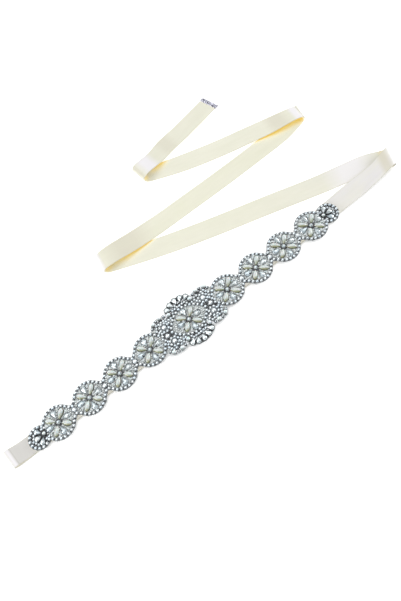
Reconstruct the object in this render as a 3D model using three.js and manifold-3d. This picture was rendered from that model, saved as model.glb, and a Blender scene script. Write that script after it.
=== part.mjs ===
// A bridal sash: a long ivory satin ribbon with a beaded applique sewn along its waist, laid out on a table.
// The applique lies along X. The left tail is turned under and folded flat beneath it.
// The right tail goes to and fro behind it in four soft bends and ends in a glitter tip.
// Millimetres, +Z up. The origin is on the table, beneath the middle of the applique.

import * as THREE from "three";
import { mergeVertices } from "three/addons/utils/BufferGeometryUtils.js";
import Module from "manifold-3d";

const wasm = await Module();
wasm.setup();

// Ribbon
const RIBBON_WIDTH = 25;
const RIBBON_WALL = 1;
const SEAM = 0.3;
const TABLE_LEVEL = RIBBON_WALL / 2;
const FOLDED_INSET = 0.3;
const FOLDED_LAYER = 0.45;
const FOLDED_NOTCH = 0.12;
const FOLDED_LAYERS = 3;
const FOLDED_HEIGHT = FOLDED_LAYERS * FOLDED_LAYER + (FOLDED_LAYERS - 1) * FOLDED_NOTCH;
const FOLDED_FROM = -223.9;
const FOLDED_TO = 204;
const WAIST_LEVEL = FOLDED_HEIGHT + SEAM + RIBBON_WALL / 2;

// Applique
const MEDALLION_PITCH = 40.6;
const CENTRE_PITCH = 54.1;
const MEDALLIONS_A_SIDE = 4;
const FELT_THICK = 1;
const FELT_BOTTOM = WAIST_LEVEL + RIBBON_WALL / 2 + SEAM;
const BEAD_BOTTOM = FELT_BOTTOM + FELT_THICK + SEAM;
const EDGING_WIDTH = 3;
const EDGING_HEIGHT = 2.3;
const EDGING_INSET = 1.5;
const FAN_AT = 200.6;
const FAN_RADIUS = 13.2;
const NECK_HALF = 6.6;
const APPLIQUE_SHIFT = 0.8;
const APPLIQUE_BOW = 1.7;

// Beads
const PEARL_PETAL = { length: 11.6, width: 5.8, height: 3.1, reach: 9.4 };
const CRYSTAL_PETAL = { length: 8.8, width: 6, height: 2.5, reach: 10.5 };
const CROWN_DROP = { length: 8.8, width: 6.1, height: 2.8 };
const FAN_DROP = { length: 8.6, width: 5.8, height: 2.5, reach: 7.7, lean: 47 };
const ROUND_PEARL = 2.25;
const NECK_STONE = { radius: 2.9, height: 2.4 };
const ROSETTE = { x: 27.2, y: 10, radius: 6.1, stone: 3.5 };
const BASE_THICK = 0.8;

// Half of the applique's outline from its middle towards one end: across is measured at each distance along.
const CENTRE_OUTLINE = [
  { along: 0, across: 31.2 },
  { along: 4.5, across: 31 },
  { along: 9, across: 29.8 },
  { along: 13.5, across: 28 },
  { along: 16.4, across: 24.6 },
  { along: 18.4, across: 22.6 },
  { along: 22, across: 23.9 },
  { along: 27, across: 24.6 },
  { along: 32, across: 24.3 },
  { along: 36.4, across: 23 },
  { along: 39.6, across: 19.6 },
];

// One medallion's outline between its necks, as seen from its own middle.
const MEDALLION_OUTLINE = [
  { along: -17.4, across: 9 },
  { along: -12.2, across: 15.2 },
  { along: -5.4, across: 18.5 },
  { along: 0, across: 19.2 },
  { along: 5.4, across: 18.5 },
  { along: 12.2, across: 15.2 },
  { along: 17.4, across: 9 },
];

// The stone edging round the middle flower, a quarter of it.
const CENTRE_RING = [
  { along: 23.2, across: 0 },
  { along: 21.4, across: 4.4 },
  { along: 16.6, across: 9.6 },
  { along: 10.2, across: 14 },
  { along: 4.4, across: 16.4 },
  { along: 0, across: 16.9 },
];

// The outer rim of one lobe beside the middle, a pearl at every row that has one.
const LOBE_RIM = [
  { along: 14.6, across: 18.2, pearl: true },
  { along: 19.4, across: 20.9, pearl: false },
  { along: 25.4, across: 21.9, pearl: true },
  { along: 30.8, across: 21.9, pearl: false },
  { along: 35.4, across: 20.2, pearl: true },
  { along: 38.4, across: 16.9, pearl: false },
];

// The five drops of a crown above or below the middle flower.
const CROWN = [
  { along: -12, across: 23.4, lean: -52 },
  { along: -6.3, across: 26, lean: -27 },
  { along: 0, across: 27, lean: 0 },
  { along: 6.3, across: 26, lean: 27 },
  { along: 12, across: 23.4, lean: 52 },
];

// Middle line of the ribbon on the table, with its width where that isn't the full width.
// The waist is drawn in under the applique that is sewn to it. The others lie behind it.
const WAIST_LINE = [
  { x: -205, y: -0.8, width: 20.4 },
  { x: -165, y: -1.6, width: 17.2 },
  { x: -110, y: -1.3, width: 16.2 },
  { x: 0, y: -1.3, width: 16.2 },
  { x: 110, y: -1, width: 16 },
  { x: 165, y: -0.6, width: 17.2 },
  { x: 200, y: 1.3, width: 21.4 },
  { x: 255, y: 2.4, width: 23.6 },
  { x: 285, y: 2.6, width: 21.4 },
];
const SECOND_LINE = [
  { x: 284, y: 17.2, width: 27.5 },
  { x: 255, y: 26.4, width: 26 },
  { x: 222, y: 35.4 },
  { x: 156, y: 56.2 },
  { x: 88, y: 77.2 },
  { x: 30, y: 97.2 },
];
const THIRD_LINE = [
  { x: 10, y: 123.6 },
  { x: 70, y: 123 },
  { x: 140, y: 122.1 },
  { x: 200, y: 122.6 },
  { x: 240, y: 124 },
];
const FOURTH_LINE = [
  { x: 238, y: 139.4 },
  { x: 205, y: 149.2 },
  { x: 160, y: 161.3 },
  { x: 122, y: 173.4 },
];
const FIFTH_LINE = [
  { x: 96.5, y: 200.3, width: 23 },
  { x: 120, y: 208.6 },
  { x: 150, y: 214.4 },
  { x: 180, y: 220 },
];

// Where the ribbon turns back: the outermost point of each edge, the height of the soft bend at that edge,
// the level of its upper run further on, and how far the upper run stays lifted.
// The first turn is the left end's, the others are the four bends in order along the ribbon.
const TURNS = [
  {
    near: { x: -238.2, y: -10.6, rise: 4.6 },
    far: { x: -240, y: 11.2, rise: 4.6 },
    upper: WAIST_LEVEL,
    reach: 0.34,
  },
  {
    near: { x: 302, y: -6.1, rise: 10 },
    far: { x: 311.8, y: 17.7, rise: 10 },
    upper: WAIST_LEVEL,
    reach: 0.85,
  },
  {
    near: { x: -40, y: 112.2, rise: 9.5 },
    far: { x: -36.3, y: 135.1, rise: 10.5 },
    upper: TABLE_LEVEL,
    reach: 1,
  },
  {
    near: { x: 272.7, y: 117.8, rise: 9 },
    far: { x: 279.3, y: 139.7, rise: 4 },
    upper: TABLE_LEVEL,
    reach: 1.05,
  },
  {
    near: { x: 68.6, y: 182.4, rise: 11 },
    far: { x: 66.4, y: 205.7, rise: 10 },
    upper: TABLE_LEVEL,
    reach: 0.85,
  },
];

// Outline of a soft bend seen from its open side: back is the distance from its outermost line,
// up the share of its height.
const LOWER_SIDE = [
  { back: 0.9, up: 0.34 },
  { back: 3.2, up: 0.16 },
  { back: 7.5, up: 0.05 },
  { back: 14, up: 0.01 },
  { back: 24, up: 0 },
];
const UPPER_SIDE = [
  { back: 1, up: 0.76 },
  { back: 4, up: 0.93 },
  { back: 9.5, up: 1 },
  { back: 17, up: 0.94 },
  { back: 27, up: 0.77 },
  { back: 39, up: 0.53 },
  { back: 53, up: 0.31 },
  { back: 68, up: 0.17 },
  { back: 84, up: 0.06 },
  { back: 98, up: 0 },
];
const OUTERMOST = 0.56;
const LOWER_CUT = 27;
const UPPER_CUT = 60;
const END_TURN_CUT = 13;
const FLAT_STEP = 24;

// Far end of the tail
const TIP = {
  near: { x: 205, y: 212.4, rise: 0 },
  far: { x: 198.2, y: 236.2, rise: 0 },
};
const TIP_BAND = 4.2;
const TIP_THICK = 1.7;

const COLOURS = {
  satin: new THREE.Color("#efecdf"),
  satinUnder: new THREE.Color("#dedbce"),
  felt: new THREE.Color("#e9e6dd"),
  pearl: new THREE.Color("#e6e2cd"),
  crystal: new THREE.Color("#b6bec6"),
  edging: new THREE.Color("#a9adb1"),
  glitter: new THREE.Color("#c9cbcc"),
};

const sash = new THREE.Group();
const ribbon = new THREE.Group();
const applique = new THREE.Group();
applique.position.y = APPLIQUE_SHIFT;
sash.add(ribbon, applique);

function add(name, geometry, colour, roughness, metalness) {
  const material = new THREE.MeshStandardMaterial({ color: colour.clone(), roughness, metalness });
  const mesh = new THREE.Mesh(geometry, material);
  mesh.name = name;
  (name.startsWith("ribbon") ? ribbon : applique).add(mesh);
  return mesh;
}

// Reads a column of a table at a value of another column, with straight lines between the rows.
function readTable(rows, key, value, at) {
  if (at <= rows[0][key]) return rows[0][value];
  for (let i = 1; i < rows.length; i += 1) {
    if (at <= rows[i][key]) {
      const share = (at - rows[i - 1][key]) / (rows[i][key] - rows[i - 1][key]);
      return THREE.MathUtils.lerp(rows[i - 1][value], rows[i][value], share);
    }
  }
  return rows[rows.length - 1][value];
}

// A closed body through rings of equal length, each a list of points.
// The ends are flat, fanned from a corner, or from their middle when the ring has notches.
function bodyThroughRings(rings, closed = false, fromMiddle = false) {
  const positions = [];
  const indices = [];
  const count = rings[0].length;
  rings.forEach((ring) => ring.forEach((p) => positions.push(p.x, p.y, p.z)));
  const spans = closed ? rings.length : rings.length - 1;
  for (let i = 0; i < spans; i += 1) {
    for (let k = 0; k < count; k += 1) {
      const a = i * count + k;
      const b = i * count + ((k + 1) % count);
      const c = ((i + 1) % rings.length) * count + k;
      const d = ((i + 1) % rings.length) * count + ((k + 1) % count);
      indices.push(a, b, d, a, d, c);
    }
  }
  const last = (rings.length - 1) * count;
  if (fromMiddle) {
    [rings[0], rings[rings.length - 1]].forEach((ring) => {
      const middle = ring.reduce((sum, p) => sum.add(p), new THREE.Vector3()).divideScalar(count);
      positions.push(middle.x, middle.y, middle.z);
    });
    const hub = rings.length * count;
    for (let k = 0; k < count; k += 1) {
      indices.push(hub, (k + 1) % count, k);
      indices.push(hub + 1, last + k, last + ((k + 1) % count));
    }
  } else if (!closed) {
    for (let k = 1; k < count - 1; k += 1) {
      indices.push(0, k + 1, k);
      indices.push(last, last + k, last + k + 1);
    }
  }
  const geometry = new THREE.BufferGeometry();
  geometry.setAttribute("position", new THREE.Float32BufferAttribute(positions, 3));
  geometry.setIndex(indices);
  return facesOut(geometry);
}

// Turns all the faces round when the body is inside out.
function facesOut(geometry) {
  const p = geometry.getAttribute("position");
  const index = geometry.getIndex();
  const [a, b, c] = [new THREE.Vector3(), new THREE.Vector3(), new THREE.Vector3()];
  let volume = 0;
  for (let i = 0; i < index.count; i += 3) {
    a.fromBufferAttribute(p, index.getX(i));
    b.fromBufferAttribute(p, index.getX(i + 1));
    c.fromBufferAttribute(p, index.getX(i + 2));
    volume += a.dot(b.cross(c));
  }
  if (volume < 0) {
    for (let i = 0; i < index.count; i += 3) {
      const swap = index.getX(i + 1);
      index.setX(i + 1, index.getX(i + 2));
      index.setX(i + 2, swap);
    }
  }
  return geometry;
}

function solidOf(geometry) {
  const bare = geometry.clone();
  bare.deleteAttribute("normal");
  bare.deleteAttribute("uv");
  const merged = bare.getIndex() ? bare : mergeVertices(bare, 1e-4);
  return new wasm.Manifold(
    new wasm.Mesh({
      numProp: 3,
      vertProperties: new Float32Array(merged.getAttribute("position").array),
      triVerts: new Uint32Array(merged.getIndex().array),
    }),
  );
}

function joined(geometries) {
  const whole = geometries.map(solidOf).reduce((sum, next) => sum.add(next));
  const mesh = whole.getMesh();
  const geometry = new THREE.BufferGeometry();
  geometry.setAttribute("position", new THREE.Float32BufferAttribute(mesh.vertProperties, 3));
  geometry.setIndex(new THREE.BufferAttribute(new Uint32Array(mesh.triVerts), 1));
  return geometry;
}

function extruded(points, thick, bottom) {
  const shape = new THREE.Shape(points.map((p) => new THREE.Vector2(p.x, p.y)));
  const geometry = new THREE.ExtrudeGeometry(shape, { depth: thick, bevelEnabled: false, steps: 1 });
  geometry.translate(0, 0, bottom);
  geometry.deleteAttribute("normal");
  geometry.deleteAttribute("uv");
  return mergeVertices(geometry, 1e-4);
}

// RIBBON

// The two edges of a stretch, from one turn to the next through its middle line.
function stretchEdges(line, start, end) {
  const middle = line.map((row) => new THREE.Vector3(row.x, row.y, 0));
  const near = [];
  const far = [];
  middle.forEach((point, i) => {
    const before = middle[Math.max(i - 1, 0)];
    const after = middle[Math.min(i + 1, middle.length - 1)];
    const along = after.clone().sub(before).normalize();
    const across = new THREE.Vector3(-along.y, along.x, 0);
    if (across.y < 0) across.negate();
    const half = (line[i].width ?? RIBBON_WIDTH) / 2;
    near.push(point.clone().addScaledVector(across, -half));
    far.push(point.clone().addScaledVector(across, half));
  });
  near.unshift(new THREE.Vector3(start.near.x, start.near.y, 0));
  far.unshift(new THREE.Vector3(start.far.x, start.far.y, 0));
  near.push(new THREE.Vector3(end.near.x, end.near.y, 0));
  far.push(new THREE.Vector3(end.far.x, end.far.y, 0));
  return {
    near: new THREE.CatmullRomCurve3(near, false, "centripetal"),
    far: new THREE.CatmullRomCurve3(far, false, "centripetal"),
  };
}

// Height of one edge of the ribbon at a distance back from a turn, on its lower or upper run.
function heightBack(turn, edge, back, upperRun) {
  const level = upperRun ? turn.upper : TABLE_LEVEL;
  const rows = upperRun ? UPPER_SIDE : LOWER_SIDE;
  const scaled = back / turn.reach;
  const first = { back: 0, up: OUTERMOST };
  const share = readTable([first, ...rows], "back", "up", upperRun ? scaled : back);
  return Math.max(level, TABLE_LEVEL + turn[edge].rise * share);
}

// The sections of a stretch: near and far points of the cloth's middle at each distance along.
// The first and last sections are the outermost lines of its two turns.
function stretchSections(line, start, startUpper, end, endUpper) {
  const edges = stretchEdges(line, start, end);
  const length = (edges.near.getLength() + edges.far.getLength()) / 2;
  const at = new Set([0, length]);
  const rowsOf = (turn, upperRun) =>
    upperRun ? UPPER_SIDE.map((row) => row.back * turn.reach) : LOWER_SIDE.map((row) => row.back);
  const startRows = start.near.rise ? rowsOf(start, startUpper) : [];
  const endRows = end.near.rise ? rowsOf(end, endUpper) : [];
  startRows.forEach((back) => at.add(back));
  endRows.forEach((back) => at.add(length - back));
  const from = startRows.length ? Math.max(...startRows) : 0;
  const to = length - (endRows.length ? Math.max(...endRows) : 0);
  const steps = Math.max(1, Math.round((to - from) / FLAT_STEP));
  for (let i = 1; i < steps; i += 1) at.add(from + ((to - from) * i) / steps);
  const heightAt = (edge, s) => {
    const one = start[edge].rise ? heightBack(start, edge, s, startUpper) : TABLE_LEVEL;
    const other = end[edge].rise ? heightBack(end, edge, length - s, endUpper) : TABLE_LEVEL;
    return Math.max(one, other);
  };
  const sectionAt = (s) => {
    const share = THREE.MathUtils.clamp(s / length, 0, 1);
    const near = edges.near.getPointAt(share);
    const far = edges.far.getPointAt(share);
    near.z = heightAt("near", s);
    far.z = heightAt("far", s);
    return { s, near, far };
  };
  return { length, at: [...at].sort((a, b) => a - b), sectionAt };
}

// The cloth between two distances along a stretch.
function cutSections(stretch, from, to) {
  const kept = stretch.at.filter((s) => s > from + 0.6 && s < to - 0.6);
  return [from, ...kept, to].map(stretch.sectionAt);
}

// A wall of cloth, half of it on each side of the sections.
function clothWall(sections, wall = RIBBON_WALL) {
  const middles = sections.map((s) => s.near.clone().add(s.far).multiplyScalar(0.5));
  const rings = sections.map((section, i) => {
    const along = new THREE.Vector3();
    if (i > 0) along.add(middles[i].clone().sub(middles[i - 1]).normalize());
    if (i < middles.length - 1) along.add(middles[i + 1].clone().sub(middles[i]).normalize());
    const across = section.far.clone().sub(section.near);
    const out = along.cross(across).normalize().multiplyScalar(wall / 2);
    return [
      section.near.clone().add(out),
      section.far.clone().add(out),
      section.far.clone().sub(out),
      section.near.clone().sub(out),
    ];
  });
  return bodyThroughRings(rings);
}

const stretches = [
  stretchSections(WAIST_LINE, TURNS[0], true, TURNS[1], true),
  stretchSections(SECOND_LINE, TURNS[1], false, TURNS[2], false),
  stretchSections(THIRD_LINE, TURNS[2], true, TURNS[3], false),
  stretchSections(FOURTH_LINE, TURNS[3], true, TURNS[4], false),
  stretchSections(FIFTH_LINE, TURNS[4], true, TIP, false),
];
const GAP = SEAM / 2;

// The turn at the left end: its upper run goes on as the waist, its lower run as the folded tail.
const waist = stretches[0];
const endTurnLower = LOWER_SIDE.filter((row) => row.back < END_TURN_CUT).map((row) => row.back);
const endTurnSections = [END_TURN_CUT, ...endTurnLower.reverse()].map((back) => {
  const section = waist.sectionAt(back);
  section.near.z = heightBack(TURNS[0], "near", back, false);
  section.far.z = heightBack(TURNS[0], "far", back, false);
  return section;
});
const endTurnUpper = cutSections(waist, 0, 18 - GAP);
const endTurn = clothWall([...endTurnSections, ...endTurnUpper]);
const waistRun = clothWall(cutSections(waist, 18 + GAP, waist.length - UPPER_CUT - GAP));
add("ribbon_end_turn", endTurn, COLOURS.satin, 0.35, 0);
add("ribbon_waist", waistRun, COLOURS.satin, 0.35, 0);

// Bends and the flat runs between them.
function bendWall(before, beforeCut, after, afterCut) {
  const arriving = cutSections(before, before.length - beforeCut + GAP, before.length);
  const leaving = cutSections(after, 0, afterCut - GAP).slice(1);
  return clothWall([...arriving, ...leaving]);
}
const CUTS = [
  { arriving: UPPER_CUT, leaving: LOWER_CUT },
  { arriving: LOWER_CUT, leaving: UPPER_CUT },
  { arriving: LOWER_CUT, leaving: UPPER_CUT },
  { arriving: LOWER_CUT, leaving: UPPER_CUT },
];
CUTS.forEach((cut, i) => {
  const geometry = bendWall(stretches[i], cut.arriving, stretches[i + 1], cut.leaving);
  add(`ribbon_bend_${i + 1}`, geometry, COLOURS.satin, 0.35, 0);
});
[1, 2, 3].forEach((i) => {
  const stretch = stretches[i];
  const from = CUTS[i - 1].leaving + GAP;
  const to = stretch.length - CUTS[i].arriving - GAP;
  add(`ribbon_run_${i + 1}`, clothWall(cutSections(stretch, from, to)), COLOURS.satin, 0.35, 0);
});
const tail = stretches[4];
const tailEnd = tail.length;
add("ribbon_run_5", clothWall(cutSections(tail, UPPER_CUT + GAP, tailEnd)), COLOURS.satin, 0.35, 0);

// The glitter band over the cut end, a seam's gap beyond it.
const endSection = tail.sectionAt(tailEnd);
const beforeEnd = tail.sectionAt(tailEnd - 5);
const outward = endSection.near.clone().sub(beforeEnd.near).setZ(0).normalize();
const tipRings = [SEAM, SEAM + TIP_BAND].map((out) =>
  [
    { edge: endSection.near, up: 0 },
    { edge: endSection.far, up: 0 },
    { edge: endSection.far, up: TIP_THICK },
    { edge: endSection.near, up: TIP_THICK },
  ].map((corner) => corner.edge.clone().addScaledVector(outward, out).setZ(corner.up)),
);
add("ribbon_glitter_tip", bodyThroughRings(tipRings), COLOURS.glitter, 0.4, 0.6);

// The left tail folded flat under the waist: one solid, with its layers showing at the edges.
const edgeProfile = [];
for (let layer = 0; layer < FOLDED_LAYERS; layer += 1) {
  const bottom = layer * (FOLDED_LAYER + FOLDED_NOTCH);
  edgeProfile.push({ in: 0, up: bottom });
  edgeProfile.push({ in: 0, up: bottom + FOLDED_LAYER });
  if (layer < FOLDED_LAYERS - 1) {
    edgeProfile.push({ in: 0.3, up: bottom + FOLDED_LAYER + FOLDED_NOTCH / 2 });
  }
}
const foldedRings = [];
const foldedSteps = 20;
for (let i = 0; i <= foldedSteps; i += 1) {
  const x = THREE.MathUtils.lerp(FOLDED_FROM, FOLDED_TO, i / foldedSteps);
  const section = waist.sectionAt(x - TURNS[0].near.x);
  const nearY = section.near.y + FOLDED_INSET;
  const farY = section.far.y - FOLDED_INSET;
  const right = edgeProfile.map((row) => new THREE.Vector3(x, farY - row.in, row.up));
  const left = edgeProfile.map((row) => new THREE.Vector3(x, nearY + row.in, row.up)).reverse();
  foldedRings.push([...right, ...left]);
}
add("ribbon_folded_tail", bodyThroughRings(foldedRings, false, true), COLOURS.satinUnder, 0.4, 0);

// APPLIQUE

const medallionsAt = [];
for (let i = 0; i < MEDALLIONS_A_SIDE; i += 1) medallionsAt.push(CENTRE_PITCH + i * MEDALLION_PITCH);

// The outline of one half as points from the middle to the far end, across always positive.
function fanOutline() {
  const rows = [];
  for (const turn of [118, 96, 73, 49, 25]) {
    const angle = THREE.MathUtils.degToRad(turn);
    rows.push({ along: FAN_AT + FAN_RADIUS * Math.cos(angle), across: FAN_RADIUS * Math.sin(angle) });
  }
  rows.push({ along: FAN_AT + FAN_RADIUS, across: 0 });
  return rows;
}
function medallionsOutline() {
  const rows = [];
  medallionsAt.forEach((middle, i) => {
    const last = i === MEDALLIONS_A_SIDE - 1;
    MEDALLION_OUTLINE.forEach((row, k) => {
      if (i === 0 && k === 0) return;
      if (last && k === MEDALLION_OUTLINE.length - 1) return;
      rows.push({ along: middle + row.along, across: row.across });
    });
    const neck = last ? middle + 16.4 : middle + MEDALLION_PITCH / 2;
    rows.push({ along: neck, across: last ? 10 : NECK_HALF });
  });
  return rows;
}
const halfOutline = [...CENTRE_OUTLINE, ...medallionsOutline(), ...fanOutline()];

// The applique bows a little: its ends lie nearer to the viewer than its middle.
const bow = (x) => -APPLIQUE_BOW * (x / FAN_AT) ** 2;
const onBow = (x, y) => ({ x, y: y + bow(x) });

// The felt: the half outline mirrored to all four quarters.
const quarter = (sx, sy) => halfOutline.map((row) => onBow(sx * row.along, sy * row.across));
const feltPoints = [
  ...quarter(1, 1),
  ...quarter(1, -1).reverse().slice(1),
  ...quarter(-1, -1).slice(1),
  ...quarter(-1, 1).reverse().slice(1, -1),
];
add("applique_felt", extruded(feltPoints, FELT_THICK, FELT_BOTTOM), COLOURS.felt, 0.9, 0);

// A raised edging along a path of points, set in from it.
function edgingBand(points, closed, inset) {
  const path = points.map((p) => new THREE.Vector2(p.x, p.y));
  const count = path.length;
  const rings = path.map((point, i) => {
    const before = closed || i > 0 ? path[(i - 1 + count) % count] : point;
    const after = closed || i < count - 1 ? path[(i + 1) % count] : point;
    const one = point.clone().sub(before);
    const two = after.clone().sub(point);
    if (one.lengthSq() === 0) one.copy(two);
    if (two.lengthSq() === 0) two.copy(one);
    one.normalize();
    two.normalize();
    const along = one.clone().add(two).normalize();
    const side = new THREE.Vector2(-along.y, along.x);
    const mitre = 1 / Math.max(0.8, side.dot(new THREE.Vector2(-one.y, one.x)));
    const place = (out, up) => {
      const spot = point.clone().addScaledVector(side, (out + inset) * mitre);
      return new THREE.Vector3(spot.x, spot.y, BEAD_BOTTOM + up);
    };
    return [
      place(-EDGING_WIDTH / 2, 0),
      place(-EDGING_WIDTH * 0.33, EDGING_HEIGHT),
      place(EDGING_WIDTH * 0.33, EDGING_HEIGHT),
      place(EDGING_WIDTH / 2, 0),
    ];
  });
  return bodyThroughRings(rings, closed);
}
const edgingHalf = [
  { along: CENTRE_PITCH - 18.4, across: 7.9 },
  { along: CENTRE_PITCH + MEDALLION_OUTLINE[0].along, across: MEDALLION_OUTLINE[0].across },
  ...halfOutline.slice(CENTRE_OUTLINE.length),
];
for (const [name, sign] of [["edging_right", 1], ["edging_left", -1]]) {
  const upper = edgingHalf.map((row) => onBow(sign * row.along, row.across * sign));
  const lower = edgingHalf.map((row) => onBow(sign * row.along, -row.across * sign)).reverse();
  add(name, edgingBand([...upper, ...lower.slice(1)], false, -EDGING_INSET), COLOURS.edging, 0.3, 0.7);
}
const ringPoints = [
  ...CENTRE_RING.map((row) => ({ x: row.along, y: row.across })),
  ...CENTRE_RING.slice(0, -1).reverse().map((row) => ({ x: -row.along, y: row.across })),
  ...CENTRE_RING.slice(1).map((row) => ({ x: -row.along, y: -row.across })),
  ...CENTRE_RING.slice(1, -1).reverse().map((row) => ({ x: row.along, y: -row.across })),
];
add("edging_centre", edgingBand(ringPoints, true, 0), COLOURS.edging, 0.3, 0.7);

// A pearl petal: narrow towards the flower's middle, full towards its outer end, rounded over its back.
const PETAL_SHAPE = [
  { along: 0.14, wide: 0.42, high: 0.52 },
  { along: 0.38, wide: 0.8, high: 0.9 },
  { along: 0.68, wide: 1, high: 1 },
  { along: 0.9, wide: 0.66, high: 0.66 },
];
function pearlPetal(size, reach) {
  const tip = (share) => new THREE.Vector3(reach - size.length / 2 + size.length * share, 0, 0);
  const positions = [tip(0)];
  const faces = [];
  for (const row of PETAL_SHAPE) {
    const x = tip(row.along).x;
    const half = (size.width / 2) * row.wide;
    const high = size.height * row.high;
    positions.push(new THREE.Vector3(x, -half, 0));
    positions.push(new THREE.Vector3(x, -half * 0.72, high * 0.72));
    positions.push(new THREE.Vector3(x, 0, high));
    positions.push(new THREE.Vector3(x, half * 0.72, high * 0.72));
    positions.push(new THREE.Vector3(x, half, 0));
  }
  positions.push(tip(1));
  const last = positions.length - 1;
  for (let k = 0; k < 5; k += 1) {
    const next = (k + 1) % 5;
    faces.push(0, 1 + next, 1 + k);
    faces.push(last, last - 5 + k, last - 5 + next);
    for (let i = 0; i < PETAL_SHAPE.length - 1; i += 1) {
      const a = 1 + i * 5;
      faces.push(a + k, a + next, a + 5 + next, a + k, a + 5 + next, a + 5 + k);
    }
  }
  return meshFrom(positions, faces);
}

function meshFrom(positions, faces) {
  const geometry = new THREE.BufferGeometry();
  const flat = positions.flatMap((p) => [p.x, p.y, p.z]);
  geometry.setAttribute("position", new THREE.Float32BufferAttribute(flat, 3));
  geometry.setIndex(faces);
  return facesOut(geometry);
}

// A cut stone: an outline on the base and a smaller flat table above it.
function cutStone(outline, height, table, shift = 0) {
  const base = outline.map((p) => new THREE.Vector3(p.x, p.y, 0));
  const top = outline.map((p) => new THREE.Vector3(shift + (p.x - shift) * table, p.y * table, height));
  return bodyThroughRings([base, top]);
}

// A drop's outline, its narrow end first, scaled to a length and a width.
const DROP_OUTLINE = [
  { x: -0.5, y: 0 },
  { x: -0.16, y: -0.3 },
  { x: 0.18, y: -0.5 },
  { x: 0.42, y: -0.32 },
  { x: 0.5, y: 0 },
  { x: 0.42, y: 0.32 },
  { x: 0.18, y: 0.5 },
  { x: -0.16, y: 0.3 },
];
function dropStone(size, reach) {
  const outline = DROP_OUTLINE.map((p) => ({ x: reach + p.x * size.length, y: p.y * size.width }));
  return cutStone(outline, size.height, 0.5, reach + size.length * 0.12);
}
function roundOutline(radius, sides, x = 0, y = 0) {
  const points = [];
  for (let i = 0; i < sides; i += 1) {
    const angle = ((i + 0.5) / sides) * Math.PI * 2;
    points.push({ x: x + radius * Math.cos(angle), y: y + radius * Math.sin(angle) });
  }
  return points;
}
function plate(radius, sides, thick) {
  const outline = roundOutline(radius, sides);
  const ring = (up) => outline.map((p) => new THREE.Vector3(p.x, p.y, up));
  return bodyThroughRings([ring(0), ring(thick)]);
}

// A round pearl as a dome on a short wall.
function pearlDome(x, y) {
  const rows = [
    { radius: 0.94, up: 0 },
    { radius: 1, up: 0.8 },
    { radius: 0.8, up: 1.45 },
    { radius: 0.35, up: 1.86 },
  ];
  const rings = rows.map((row) => {
    const outline = roundOutline(ROUND_PEARL * row.radius, 9, x, y);
    return outline.map((p) => new THREE.Vector3(p.x, p.y, ROUND_PEARL * row.up));
  });
  return bodyThroughRings(rings);
}

// Flowers: four pearl petals on the slant, four crystal petals along and across, one stone in the middle.
const flowerPieces = [plate(8.4, 14, BASE_THICK), cutStone(roundOutline(2.5, 8), 3.1, 0.55)];
for (let i = 0; i < 4; i += 1) {
  const slant = Math.PI / 4 + (i * Math.PI) / 2;
  flowerPieces.push(pearlPetal(PEARL_PETAL, PEARL_PETAL.reach).rotateZ(slant));
  flowerPieces.push(dropStone(CRYSTAL_PETAL, CRYSTAL_PETAL.reach).rotateZ((i * Math.PI) / 2));
}
const flower = joined(flowerPieces);
function addFlower(name, x) {
  add(name, flower.clone(), COLOURS.pearl, 0.25, 0.1).position.set(x, bow(x), BEAD_BOTTOM);
}
addFlower("flower_centre", 0);
medallionsAt.forEach((x, i) => {
  addFlower(`flower_right_${i + 1}`, x);
  addFlower(`flower_left_${i + 1}`, -x);
});

// Neck stones between neighbouring medallions.
const neckStone = cutStone(roundOutline(NECK_STONE.radius, 8), NECK_STONE.height, 0.6);
function addNeckStone(name, x) {
  add(name, neckStone.clone(), COLOURS.crystal, 0.1, 0.3).position.set(x, bow(x), BEAD_BOTTOM);
}
const necksAt = [CENTRE_PITCH - 24.2];
for (let i = 0; i < MEDALLIONS_A_SIDE - 1; i += 1) necksAt.push(medallionsAt[i] + MEDALLION_PITCH / 2);
necksAt.forEach((x, i) => {
  addNeckStone(`neck_stone_right_${i + 1}`, x);
  addNeckStone(`neck_stone_left_${i + 1}`, -x);
});

// Crowns of five drops above and below the middle flower, on one curved strip.
const crownStrip = [
  ...CROWN.map((row) => ({ x: row.along * 1.05, y: row.across + 0.6 })),
  ...CROWN.map((row) => ({ x: row.along * 0.8, y: row.across - 2.6 })).reverse(),
];
const crownPieces = [extruded(crownStrip, BASE_THICK, 0)];
for (const row of CROWN) {
  const drop = dropStone(CROWN_DROP, 0).rotateZ(Math.PI / 2 - THREE.MathUtils.degToRad(row.lean));
  crownPieces.push(drop.translate(row.along, row.across, 0));
}
const crown = joined(crownPieces);
add("crown_upper", crown.clone(), COLOURS.crystal, 0.1, 0.3).position.set(0, 0, BEAD_BOTTOM);
const crownLower = add("crown_lower", crown.clone(), COLOURS.crystal, 0.1, 0.3);
crownLower.position.set(0, 0, BEAD_BOTTOM);
crownLower.rotation.z = Math.PI;

// The four lobes beside the middle: a rosette with a round stone, and an outer rim with three pearls.
const rosette = joined([
  plate(ROSETTE.radius, 14, 1.5),
  cutStone(roundOutline(ROSETTE.stone, 10), 3.4, 0.6),
]);
function rimOf(sx, sy) {
  const path = LOBE_RIM.map((row) => ({ x: sx * row.along, y: sy * row.across }));
  const pieces = [edgingBand(path, false, 0)];
  LOBE_RIM.filter((row) => row.pearl).forEach((row) => {
    pieces.push(pearlDome(sx * row.along, sy * row.across).translate(0, 0, BEAD_BOTTOM));
  });
  return joined(pieces);
}
for (const [name, sx, sy] of [
  ["upper_right", 1, 1],
  ["upper_left", -1, 1],
  ["lower_left", -1, -1],
  ["lower_right", 1, -1],
]) {
  const stone = add(`rosette_${name}`, rosette.clone(), COLOURS.crystal, 0.15, 0.4);
  stone.position.set(sx * ROSETTE.x, sy * ROSETTE.y, BEAD_BOTTOM);
  add(`lobe_rim_${name}`, rimOf(sx, sy), COLOURS.pearl, 0.3, 0.2);
}

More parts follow.
